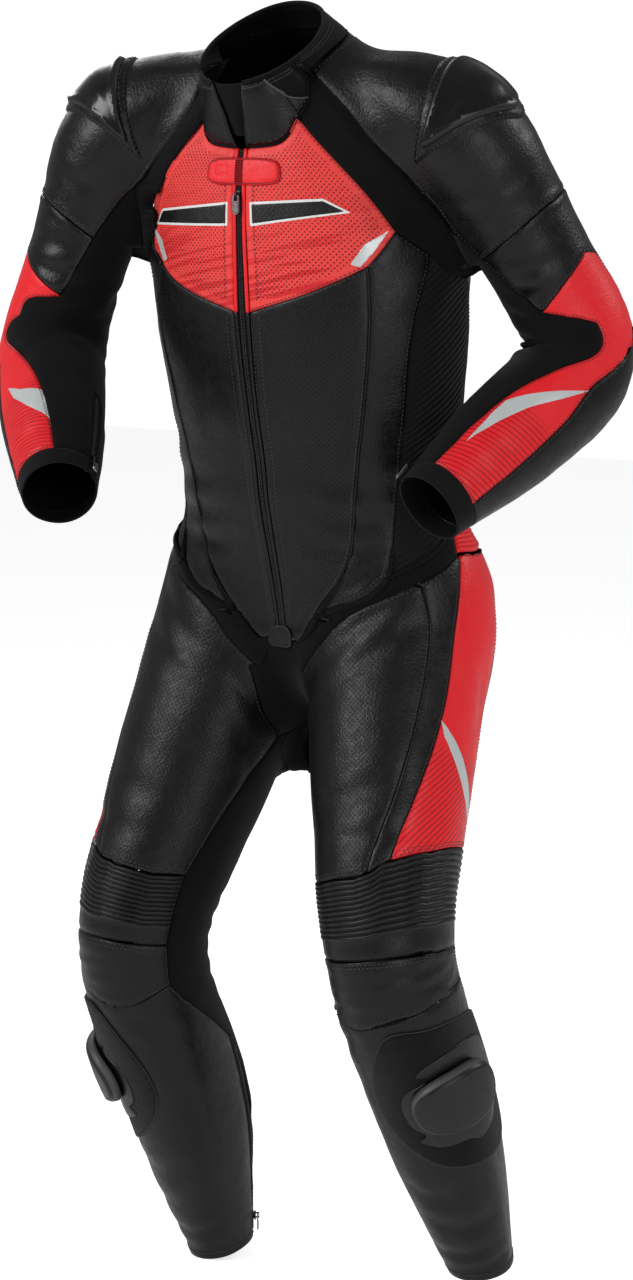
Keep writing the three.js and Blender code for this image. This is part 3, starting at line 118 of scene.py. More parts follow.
# Sleeve by distance from the neck side, and leg by distance from the hip joint.
SLEEVE = Sections(
    "at half front back",
    (0, 68, 66, 70), (110, 72, 68, 69), (193, 73, 74, 71), (300, 64, 66, 66), (400, 60, 62, 62),
    (511, 65, 62, 70), (600, 65, 64, 69), (700, 58, 58, 62), (811, 44, 43, 45),
)
LEG = Sections(
    "at half front back",
    (-150, 80, 80, 80), (0, 104, 104, 112), (100, 104, 102, 110), (200, 97, 100, 100), (300, 87, 94, 88),
    (400, 77, 92, 76), (450, 73, 90, 74), (520, 73, 76, 84), (620, 71, 64, 98), (720, 65, 58, 92),
    (820, 51, 47, 64), (900, 39, 38, 42),
)
JOINTS = {
    LEFT: dict(shoulder=(222, 46, -8), elbow=(321, 190, -288), wrist=(244, -55, -446),
               hip=(104, 104, -592), knee=(196, -70, -974), ankle=(219, 122, -1410)),
    RIGHT: dict(shoulder=(-212, -30, -8), elbow=(-313, -46, -293), wrist=(-150, -233, -437),
                hip=(-116, 100, -606), knee=(-170, -70, -1014), ankle=(-158, 95, -1451)),
}
ARM_ROOT = (40, 30, 6)
SHOULDER_BEND, ELBOW_BEND, KNEE_BEND = 70, 75, 110  # length of cloth that rounds each joint
ARM_BLEND, LEG_BLEND, LEGS_BLEND = 60, 50, 34  # softness where the limbs meet the trunk
ARM_BLEND_END = 330
LIMB_SQUARE = 2.1
AXIS_STEP = 14
CROTCH_Y, CROTCH_Z = 104, -600
FLAT_RADIUS = {"T": 150, "A": 58, "L": 84, "G": 110}  # turns a chart's angle into millimetres


def unit(vectors):
    """Vectors of length one."""
    return vectors / np.maximum(np.linalg.norm(vectors, axis=-1, keepdims=True), 1e-12)


def run_along(points):
    """Distance along a run of points, at each of them."""
    return np.concatenate([[0], np.cumsum(np.linalg.norm(np.diff(points, axis=0), axis=1))])


def swell(x, middle, width):
    """1 at the middle, falling off softly over a width: the shape of a roll or a groove."""
    return np.exp(-(((x - middle) / width) ** 2))


def smooth_step(x, low, high):
    """0 below low and 1 above high, with a soft run between."""
    t = np.clip((np.asarray(x, float) - low) / (high - low), 0, 1)
    return t * t * (3 - 2 * t)


def outline_radius(size, cos, sin, square=LIMB_SQUARE):
    """Distance from a section's middle to its outline, towards an angle from the front."""
    depth = np.where(cos > 0, size["front"], size["back"])
    return ((np.abs(cos) / depth) ** square + (np.abs(sin) / size["half"]) ** square) ** (-1 / square)


def rounded_line(joints, rounding):
    """Points of a line through joints, with its corners rounded."""
    out = [joints[0]]
    for before, corner, after, length in zip(joints, joints[1:], joints[2:], rounding):
        a = corner + unit(before - corner) * length
        b = corner + unit(after - corner) * length
        for t in np.linspace(0, 1, 9):
            out.append(a * (1 - t) ** 2 + corner * 2 * t * (1 - t) + b * t * t)
    out.append(joints[-1])
    return np.array(out)


class Limb:
    """Stations along a sleeve's or leg's axis, each with a section and two cross directions."""

    def __init__(self, side, joints, rounding, sections, reference):
        line = rounded_line([np.array(j, float) for j in joints], rounding)
        run = run_along(line)
        count = int(math.floor(run[-1] / AXIS_STEP + 0.5))
        along = np.linspace(0, run[-1], count + 1)
        self.centre = np.stack([np.interp(along, run, line[:, k]) for k in range(3)], axis=1)
        first, last = sections.at[0], sections.at[-1]
        self.at = first + along * (last - first) / run[-1]
        index = np.arange(count + 1)
        direction = unit(self.centre[np.minimum(index + 1, count)] - self.centre[np.maximum(index - 1, 0)])
        ref = reference(self.at)
        self.e1 = unit(ref - (ref * direction).sum(1, keepdims=True) * direction)
        self.e2 = unit(np.cross(self.e1, direction) * side)
        self.size = sections(self.at)

    def radius(self, index, cos, sin):
        return outline_radius({k: v[index] for k, v in self.size.items()}, cos, sin)

    def distance(self, p, start=-1e9, stop=1e9):
        """Rough signed distance of points from the limb's outside."""
        pick = np.flatnonzero((self.at[:-1] >= start) & (self.at[:-1] <= stop))
        a = self.centre[pick]
        e = self.centre[pick + 1] - a
        square = (e * e).sum(1)
        along = (p @ e.T - (a * e).sum(1)) / square
        t = np.clip(along, 0, 1)
        rel = (p * p).sum(1)[:, None] - 2 * (p @ a.T) + (a * a).sum(1)
        near = rel - 2 * t * along * square + t * t * square
        k = near.argmin(1)
        row = np.arange(len(p))
        part = t[row, k][:, None]
        i = pick[k]
        q = p - self.centre[i] * (1 - part) - self.centre[i + 1] * part
        u = (q * (self.e1[i] * (1 - part) + self.e1[i + 1] * part)).sum(1)
        v = (q * (self.e2[i] * (1 - part) + self.e2[i + 1] * part)).sum(1)
        flat = np.maximum(np.hypot(u, v), 1e-6)
        part = part[:, 0]
        r = self.radius(i, u / flat, v / flat) * (1 - part) + self.radius(i + 1, u / flat, v / flat) * part
        return np.sqrt((q * q).sum(1)) - r

    def station(self, at):
        """Axis point, two cross directions and sizes at distances along the limb."""
        f = (np.asarray(at, float) - self.at[0]) / (self.at[1] - self.at[0])
        i = np.clip(np.floor(f).astype(int), 0, len(self.at) - 2)
        t = (f - i)[:, None]
        centre = self.centre[i] * (1 - t) + self.centre[i + 1] * t
        e1 = unit(self.e1[i] * (1 - t) + self.e1[i + 1] * t)
        e2 = unit(self.e2[i] * (1 - t) + self.e2[i + 1] * t)
        s = np.clip(f - i, 0, 1)
        return centre, e1, e2, {k: v[i] * (1 - s) + v[i + 1] * s for k, v in self.size.items()}

    def locate(self, p):
        """Distance along the limb and angle round it, for points on it."""
        dense = np.arange(self.at[0], self.at[-1], (self.at[1] - self.at[0]) / 8)
        centre = self.station(dense)[0]
        u = dense[((p[:, None, :] - centre[None]) ** 2).sum(2).argmin(1)]
        centre, e1, e2, _ = self.station(u)
        q = p - centre
        return u, np.degrees(np.arctan2((q * e2).sum(1), (q * e1).sum(1)))


def sleeve_limb(side):
    """A sleeve's bent body form, its start angle turned to the front at the shoulder."""
    joint = {k: np.array(v, float) for k, v in JOINTS[side].items()}
    upper = unit(joint["elbow"] - joint["shoulder"])
    fore = unit(joint["wrist"] - joint["elbow"])
    forward = np.array([0.0, -1.0, 0.0])

    def reference(at):
        shoulder = smooth_step(at, 0, 260)[:, None]
        elbow = smooth_step(at, 440, 570)[:, None]
        return np.where(at[:, None] < 380, unit(forward * (1 - shoulder) + fore * shoulder),
                        unit(fore * (1 - elbow) - upper * elbow))

    root = (ARM_ROOT[0] * side, *ARM_ROOT[1:])
    return Limb(side, [root, joint["shoulder"], joint["elbow"], joint["wrist"]],
                [SHOULDER_BEND, ELBOW_BEND], SLEEVE, reference)


def leg_limb(side):
    """A leg's bent body form, its start angle at the front."""
    hip, knee, ankle = (np.array(JOINTS[side][k], float) for k in ("hip", "knee", "ankle"))
    start = hip - unit(hip - knee) * LEG.at[0]
    front = unit(np.array([0.2 * side, -1.0, 0.0]))
    return Limb(side, [start, knee, ankle], [KNEE_BEND], LEG, lambda at: np.tile(front, (len(at), 1)))


LIMBS = {kind + TAG[side]: make(side) for side in (LEFT, RIGHT)
         for kind, make in (("A", sleeve_limb), ("L", leg_limb))}


def soft_min(a, b, softness):
    """The smaller of two distances, blended where they are close."""
    h = np.maximum(0, softness - np.abs(a - b)) / softness
    return np.minimum(a, b) - h * h * softness / 4


def trunk_distance(p):
    """How far points lie outside the trunk."""
    z = np.clip(p[:, 2], TRUNK.at[0], TRUNK.at[-1])
    size = TRUNK(z)
    flat = np.maximum(np.hypot(p[:, 0], p[:, 1] - size["y"]), 1e-6)
    r = outline_radius(size, (size["y"] - p[:, 1]) / flat, p[:, 0] / flat, size["square"])
    return np.hypot(flat, p[:, 2] - z) - r


def cloth_distance(p, chart="T"):
    """Rough signed distance from the worn suit's outside."""
    if chart[0] == "A":
        arm = LIMBS[chart].distance(p)
        far = LIMBS[chart].distance(p, start=ARM_BLEND_END) <= arm + 1e-6
        return np.where(far, arm, soft_min(trunk_distance(p), arm, ARM_BLEND))
    f = trunk_distance(p)
    for name, there in (("AL", p[:, 0] > 0), ("AR", p[:, 0] <= 0)):
        near = there & (p[:, 2] > -330)
        if near.any():
            f[near] = soft_min(f[near], LIMBS[name].distance(p[near], stop=ARM_BLEND_END), ARM_BLEND)
    low = p[:, 2] < -380
    if low.any():
        legs = soft_min(LIMBS["LL"].distance(p[low], start=-10), LIMBS["LR"].distance(p[low], start=-10),
                        LEGS_BLEND)
        f[low] = soft_min(f[low], legs, LEG_BLEND)
    return f


def settle(p, chart):
    """Points moved onto the cloth's outside."""
    p = p.copy()
    active = np.arange(len(p))
    for _ in range(8):
        f = cloth_distance(p[active], chart)
        far = np.abs(f) > 0.03
        active, f = active[far], f[far]
        if not len(active):
            break
        q = p[active]
        slope = np.stack([cloth_distance(q + d, chart) - cloth_distance(q - d, chart)
                          for d in 1.5 * np.eye(3)], axis=1)
        p[active] = q - unit(slope) * (0.9 * f)[:, None]
    return p


def on_chart(chart, side, u, v):
    """Points on the cloth. Charts: T trunk (height, angle), A sleeve and L leg (distance
    along, angle) and G crotch (sideways, angle). Angle 0 is the front, 90 outward."""
    u, v = np.broadcast_arrays(np.asarray(u, float), np.asarray(v, float))
    cos, sin = np.cos(np.radians(v)), np.sin(np.radians(v))
    if chart == "T":
        size = TRUNK(u)
        r = outline_radius(size, cos, sin, size["square"])
        return settle(np.stack([r * sin * side, size["y"] - r * cos, u], axis=1), "T")
    if chart == "G":
        start = np.stack([u * side, np.full(len(u), CROTCH_Y), np.full(len(u), CROTCH_Z)], axis=1)
        direction = np.stack([np.zeros(len(u)), -cos, -sin], axis=1)
        r = np.full(len(u), 20.0)
        for _ in range(120):
            inside = cloth_distance(start + direction * r[:, None]) < -1
            if not inside.any():
                break
            r[inside & (r < 260)] += 2
        return settle(start + direction * r[:, None], "T")
    name = chart + TAG[side]
    centre, e1, e2, size = LIMBS[name].station(u)
    r = outline_radius(size, cos, sin)[:, None]
    return settle(centre + e1 * r * cos[:, None] + e2 * r * sin[:, None], name if chart == "A" else "T")


def to_chart(chart, side, p, near=0.0):
    """Chart places of points in a row, each angle within half a turn of the one before."""
    if chart == "T":
        u = p[:, 2].copy()
        v = np.degrees(np.arctan2(p[:, 0] * side, TRUNK(u)["y"] - p[:, 1]))
    elif chart == "G":
        u = p[:, 0] * side
        v = np.degrees(np.arctan2(CROTCH_Z - p[:, 2], CROTCH_Y - p[:, 1]))
    else:
        u, v = LIMBS[chart + TAG[side]].locate(p)
    for i in range(len(v)):
        v[i] -= 360 * round((v[i] - near) / 360)
        near = v[i]
    return np.stack([u, v], axis=1)


def axis_point(chart, side, u):
    """The middle of the form beside each place, to tell inside from outside."""
    if chart == "T":
        return np.stack([np.zeros(len(u)), TRUNK(u)["y"], u], axis=1)
    if chart == "G":
        return np.stack([u * side, np.full(len(u), CROTCH_Y), np.full(len(u), CROTCH_Z)], axis=1)
    return LIMBS[chart + TAG[side]].station(u)[0]


# Cutting pattern

def entries(table):
    """The entries of a written table, each as its words."""
    return [entry.split() for entry in table.split("|")]


def places_of(words):
    """Places from words such as 120,35."""
    return [tuple(float(x) for x in word.split(",")) for word in words]


def loop_of(text):
    """Places of a drawn line from its text."""
    return np.array(places_of(text.split()))


# Corners where seams meet: name, chart, place on the left and, where the pose differs, on
# the right. Chart P is a plain point.
CORNERS = {name: (chart, *places_of(places)) for name, chart, *places in entries("""
    zipTop T -42,4 | collarChest T -11,38 | collarShoulder T 31,55 | collarBack T 94,128 |
    chestFoot T -231,4 | chestHem T -176,55 -176,52 | chestTip T -136,67 -128,59 |
    flankTop T -164,80 -170,68 | armpitFront A 284,-30 246,-20 | armpit P 208,95,-182 -196,6,-184 |
    armpitBack P 193,120,-111 -200,36,-112 | zipFoot T -618,4 | bellyHip T -600,41 | stripHip T -548,63 |
    lumbarTop T -487,90 | lumbarFoot T -528,86 | lumbarTopSide T -479,125 | lumbarFootSide T -531,118 |
    seat T -535,180 | bandFront A 335,-7 335,2 | bandBack A 334,-108 | redCrest A 388,112 |
    redTip A 422,30 424,18 | redNotch A 470,79 478,62 | elbowOut A 488,145 | elbowIn A 505,256 |
    cuffRedIn A 784,25 | cuffRedOut A 784,110 | cuffBack A 784,258 | cuffZipTop A 655,-36 |
    cuffZipFront A 784,-29 | cuffZipBack A 784,-44 | cuffHemFront A 811,-29 | cuffHemBack A 811,-44 |
    groin T -662,25 | innerThigh L 150,-104 | seatFoot G 0,152 | stripTop T -556,70 | kneeTopIn L 345,-68 |
    kneeTopStrip L 349,7 | kneeTopRed L 338,25 | kneeTopOut L 300,118 | bandTopIn L 426,-66 |
    bandTopOut L 428,112 | bandFootIn L 471,-70 | bandFootOut L 478,116 | ankleZipTop L 590,-138 |
    hemFront L 886,-134 | hemBack L 892,-151 | hemOut L 896,138
""")}
ON_CENTRE = ("seat", "seatFoot")


def seam_table(table):
    """Written seams by name."""
    return {name: (first, last, chart, *places_of(places))
            for name, first, last, chart, *places in entries(table)}


# Seams: name, first corner, last corner, chart, then the places that the seam runs through.
# A last corner with ~ is the same-named corner of the other side.
SEAMS = seam_table("""
    zipUpper zipTop chestFoot T -130,3.6 | zipLower chestFoot zipFoot T -330,3.6 -450,4 |
    collarFront zipTop collarChest T -36,24 | collarSide collarChest collarShoulder T 12,47 |
    collarRear collarShoulder collarBack T 62,74 85,98 |
    collarNape collarBack collarBack~ T 97,154 98,180 97,206 | chestV chestFoot chestHem T -210,29 -192,44 |
    chestSide chestHem chestTip T -160,60 | chestRaglan collarChest chestTip T -54,50 -100,61 |
    raglan collarShoulder armpitFront A 76,8 130,-24 | raglanFoot chestTip flankTop T |
    flankHead flankTop armpit T -186,88 | armpitFore armpitFront armpit A | armpitAft armpit armpitBack A |
    backRaglan collarBack armpitBack T 40,130 -20,127 -80,120 |
    bellySide chestHem bellyHip T -248,54 -390,50 -523,46 |
    stripSide flankTop stripHip T -250,70 -355,67 -474,65 |
    sideSeam armpit lumbarTopSide T -250,108 -340,117 | hipInner zipFoot bellyHip T -628,16 -618,29 |
    hipMiddle bellyHip stripHip T -577,52 | hipOuter stripHip lumbarTop T -518,77 |
    crotchHead zipFoot zipFoot~ T | zipHead zipTop zipTop~ T | lumbarEnd lumbarTop lumbarFoot T |
    lumbarHeadSide lumbarTop lumbarTopSide T -483,108 |
    lumbarHeadBack lumbarTopSide lumbarTopSide~ T -474,155 -472,180 -474,205 |
    lumbarHemSide lumbarFoot lumbarFootSide T -530,102 | lumbarHemBack lumbarFootSide seat T -533,150 |
    sleeveFront armpitFront bandFront A | sleeveBack armpitBack bandBack A |
    sleeveBand bandFront bandBack A 320,38 311,75 312,120 320,180 330,225 | upperFront bandFront redTip A |
    upperBack bandBack elbowIn A 420,255 | redHead redTip redCrest A 404,66 |
    redBack redCrest elbowOut A 408,142 450,152 | redHollow redTip redNotch A 448,58 |
    elbowHead elbowOut elbowIn A 480,200 | foreInner redNotch cuffRedIn A 500,81 560,60 640,38 726,28 |
    foreOuter elbowOut cuffRedOut A 520,106 560,90 622,100 700,106 | foreBack elbowIn cuffBack A 640,258 |
    cuffHeadIn cuffZipFront cuffRedIn A | cuffHeadRed cuffRedIn cuffRedOut A |
    cuffHeadOut cuffRedOut cuffBack A | cuffHeadBack cuffBack cuffZipBack A |
    cuffZipFore cuffZipTop cuffZipFront A 668,-29 | cuffZipAft cuffZipTop cuffZipBack A 668,-43 |
    cuffEndFront cuffZipFront cuffHemFront A | cuffEndBack cuffZipBack cuffHemBack A |
    cuffHem cuffHemFront cuffHemBack A 811,60 811,150 811,240 | cuffHemZip cuffHemFront cuffHemBack A |
    groinCut zipFoot groin T | hipHemOuter lumbarFoot stripTop T | hipHem stripTop groin T -592,49 -634,37 |
    crotchFront groin innerThigh L 126,-80 | crotchBack innerThigh seatFoot L 112,-142 |
    seatSeam seatFoot seat T -600,180 | stripSeam stripTop kneeTopStrip L 60,44 169,39 271,25 |
    redSeam lumbarFoot kneeTopRed L 60,62 169,57 260,42 | innerSeam innerThigh kneeTopIn L 240,-84 |
    thighSeam lumbarFootSide kneeTopOut L 60,118 180,118 | kneeHeadIn kneeTopIn kneeTopStrip L 353,-36 |
    kneeHeadStrip kneeTopStrip kneeTopRed L | kneeHeadOut kneeTopRed kneeTopOut L 326,54 310,88 |
    kneeSideIn kneeTopIn bandTopIn L | kneeSideOut kneeTopOut bandTopOut L 370,116 |
    bandHead bandTopIn bandTopOut L 425,-20 424,20 428,66 | bandSideIn bandTopIn bandFootIn L |
    bandSideOut bandTopOut bandFootOut L | bandFoot bandFootIn bandFootOut L 489,-28 483,16 475,79 |
    shinInner bandFootIn ankleZipTop L 530,-108 | shinOuter bandFootOut hemOut L 600,132 750,138 |
    ankleZipFore ankleZipTop hemFront L 620,-136 750,-135 |
    ankleZipAft ankleZipTop hemBack L 620,-145 750,-149 | hemShin hemFront hemOut L 884,-60 887,10 893,80 |
    hemCalf hemBack hemOut L 898,180 | hemZip hemFront hemBack L
""")
SEAMS_RIGHT = seam_table("""
    flankHead flankTop armpit T | sideSeam armpit lumbarTopSide T -200,92 -340,115 |
    backRaglan collarBack armpitBack T 40,130 -20,124 -72,106 | crotchBack innerThigh seatFoot L 92,-144
""")
# Pieces that reach across the middle: patches of chart, side, start angle and seams in order.
# "!" takes the other side's seam.
BACK_PATCH = ("T", LEFT, 235, "collarNape backRaglan armpitAft sideSeam lumbarHeadBack sideSeam! armpitAft! "
              "backRaglan!")
HIP_SEAMS = "hipInner hipMiddle hipOuter lumbarEnd hipHemOuter hipHem groinCut"
GUSSET_PATCHES = (("T", LEFT, 4, HIP_SEAMS), ("T", RIGHT, 4, HIP_SEAMS),
                  ("G", LEFT, 10, "crotchHead groinCut crotchFront crotchBack crotchBack! crotchFront! "
                                  "groinCut!"))
SEAM_SAMPLES = 48


def corner(name, side):
    chart, *places = CORNERS[name]
    place = places[-1] if side == RIGHT else places[0]
    if chart == "P":
        return settle(np.array([place], float), "T")[0]
    return on_chart(chart, side, [place[0]], [place[1]])[0]


def smooth_path(places, t):
    """Places of a centripetal curve through chart places, at shares t of its way."""
    pts = np.asarray(places, float)
    last = len(pts) - 1
    if last == 1:
        return pts[0] + (pts[1] - pts[0]) * t[:, None]
    pts = np.vstack([2 * pts[0] - pts[1], pts, 2 * pts[-1] - pts[-2]])
    where = t * last
    i = np.minimum(where.astype(int), last - 1)
    w = (where - i)[:, None]
    p0, p1, p2, p3 = (pts[i + k] for k in range(4))
    d0, d1, d2 = (np.maximum(np.linalg.norm(b - a, axis=1, keepdims=True) ** 0.5, 1e-6)
                  for a, b in ((p0, p1), (p1, p2), (p2, p3)))
    t1 = ((p1 - p0) / d0 - (p2 - p0) / (d0 + d1) + (p2 - p1) / d1) * d1
    t2 = ((p2 - p1) / d1 - (p3 - p1) / (d1 + d2) + (p3 - p2) / d2) * d1
    return (p1 + t1 * w + (3 * (p2 - p1) - 2 * t1 - t2) * w**2 + (2 * (p1 - p2) + t1 + t2) * w**3)


def resample(points, step):
    """The same run of points at even distances of about step."""
    run = run_along(points)
    count = max(1, int(round(run[-1] / step)))
    even = np.linspace(0, run[-1], count + 1)
    return np.stack([np.interp(even, run, points[:, k]) for k in range(points.shape[1])], axis=1)


seam_store = {}


def seam(name, side, step):
    """(names of its two ends, points) of a seam, the same for the pieces on both sides of it."""
    key = (name, side, step)
    if key not in seam_store:
        start, end, chart, *through = SEAMS_RIGHT.get(name, SEAMS[name]) if side == RIGHT else SEAMS[name]
        far = -side if end.endswith("~") else side
        end = end.rstrip("~")
        ends = tuple(c if c in ON_CENTRE else f"{c}/{s}" for c, s in ((start, side), (end, far)))
        a, b = corner(start, side), corner(end, far)
        hint = through[0][1] if through else to_chart(chart, side, b[None])[0, 1]
        head = to_chart(chart, side, a[None], hint)[0]
        tail = to_chart(chart, side, b[None], through[-1][1] if through else head[1])[0]

        def laid(share):
            places = smooth_path([head, *through, tail], share)
            points = on_chart(chart, side, places[:, 0], places[:, 1])
            points[0], points[-1] = a, b
            return points

        share = np.linspace(0, 1, SEAM_SAMPLES + 1)
        run = run_along(laid(share))
        even = np.linspace(0, run[-1], max(1, int(round(run[-1] / step))) + 1)
        seam_store[key] = (ends, laid(np.interp(even, run, share)))
    return seam_store[key]


def seam_chain(refs, side, step):
    """Points along seams that meet in a row, and for each stretch the seam that it lies on."""
    refs = refs.split()
    runs = [seam(ref.rstrip("!"), -side if ref.endswith("!") else side, step) for ref in refs]
    here = runs[0][0][0]
    if len(runs) > 1 and here in runs[1][0]:
        here = runs[0][0][1]
    points, names = [], []
    for ref, (ends, run) in zip(refs, runs):
        if here not in ends:
            raise ValueError(f"seams don't meet at {ref}")
        walk = run if ends[0] == here else run[::-1]
        points.append(walk[:-1])
        names += [ref.rstrip("!")] * (len(walk) - 1)
        here = ends[1] if ends[0] == here else ends[0]
    return np.concatenate([*points, walk[-1:]]), names


# Cloth meshing

EDGE_ROWS = (1.4, 3.4)  # rows of points beside a seam, which shape its valley
SEAM_DEPTH = 1.3
GRAIN = 5.2  # spacing of points on a plain piece
CLOTH_WALL = 1.9


def inset(loop, distance):
    """A closed run of flat points moved inward, corners mitred."""
    before, after = np.roll(loop, 1, axis=0), np.roll(loop, -1, axis=0)
    a, b = unit(loop - before), unit(after - loop)
    turn = np.sign(np.sum(loop[:, 0] * after[:, 1] - after[:, 0] * loop[:, 1]))
    na = np.stack([-a[:, 1], a[:, 0]], axis=1) * turn
    nb = np.stack([-b[:, 1], b[:, 0]], axis=1) * turn
    mid = unit(na + nb)
    return loop + mid * (distance / np.maximum((mid * nb).sum(1), 0.5))[:, None]


def line_distance(points, start, reach):
    """How far points lie from straight pieces of line, and at which share of each."""
    rel = points[:, None, :] - start[None]
    t = np.clip((rel * reach).sum(2) / np.maximum((reach * reach).sum(1), 1e-9), 0, 1)
    return np.sqrt(((rel - reach * t[..., None]) ** 2).sum(2)), t


def inside(points, loop):
    """Which flat points lie inside a closed loop, and how far each is from it."""
    a, b = loop, np.roll(loop, -1, axis=0)
    e = b - a
    far = line_distance(points, a, e)[0].min(1)
    y = points[:, 1:2]
    cross = (a[:, 1] > y) != (b[:, 1] > y)
    rise = np.where(np.abs(e[:, 1]) < 1e-12, 1e-12, e[:, 1])
    x = a[:, 0] + (y - a[:, 1]) / rise * e[:, 0]
    return (cross & (points[:, 0:1] < x)).sum(1) % 2 == 1, far


def honeycomb(loop, step):
    """Flat points in a honeycomb over a closed loop's box."""
    low, high = loop.min(0), loop.max(0)
    out = []
    for k, y in enumerate(np.arange(low[1], high[1], step * 0.866)):
        x = np.arange(low[0] + (k % 2) * step / 2, high[0], step)
        out.append(np.stack([x, np.full(len(x), y)], axis=1))
    return np.concatenate(out)


def flat_scale(chart):
    return np.array([1.0, FLAT_RADIUS[chart] * math.pi / 180])


def cut_panel(chart, side, start, refs, step):
    """A piece of the pattern, cut along its seams."""
    ring, names = seam_chain(refs, side, step)
    ring = ring[:-1]
    return fill_loop(chart, side, to_chart(chart, side, ring, start) * flat_scale(chart), ring, names, step)


def fill_loop(chart, side, loop, ring, names, step):
    """A piece's flat points, its points on the body, faces and distance from its edge."""
    scale = flat_scale(chart)
    rows = []
    for distance in EDGE_ROWS:
        row = inset(loop, distance)
        within, far = inside(row, loop)
        rows.append(row[within & (far > distance * 0.8)])
    fill = honeycomb(loop, step)
    within, far = inside(fill, loop)
    fill = fill[within & (far > EDGE_ROWS[-1] + step * 0.45)]
    flat = np.concatenate([loop, *rows, fill])
    count = len(loop)
    edges = [(i, (i + 1) % count) for i in range(count)]
    points, _, faces, origin, _, _ = delaunay_2d_cdt([Vector(p) for p in flat], edges, [list(range(count))],
                                                     1, 1e-6, True)
    flat_out = np.array([tuple(p) for p in points])
    body = on_chart(chart, side, flat_out[:, 0] / scale[0], flat_out[:, 1] / scale[1])
    _, edge = inside(flat_out, loop)
    for new, old in enumerate(origin):
        first = [k for k in old if k < count]
        if first:
            body[new] = ring[first[0]]
            edge[new] = 0
    faces = np.array([tuple(f) for f in faces])
    faces = faces[inside(flat_out[faces].mean(1), loop)[0]]
    return outward(dict(chart=chart, side=side, flat=flat_out, body=body, faces=faces, edge=edge, loop=loop,
                        names=names))


def turned_out(points, faces, middle, weigh=1):
    """Triangles turned away from the form's middle, and the points' normals."""
    a, b, c = (points[faces[:, k]] for k in range(3))
    n = np.cross(b - a, c - a)
    turn = -1 if ((a - middle) * n * weigh).sum() < 0 else 1
    normal = np.zeros_like(points)
    for k in range(3):
        np.add.at(normal, faces[:, k], n * turn)
    return faces[:, ::turn], unit(normal)


def outward(panel):
    """Faces turned outward and the points' normals."""
    faces = np.array(panel["faces"])
    middle = axis_point(panel["chart"], panel["side"], panel["flat"][:, 0][faces[:, 0]])
    panel["faces"], panel["normal"] = turned_out(panel["body"], faces, middle)
    return panel
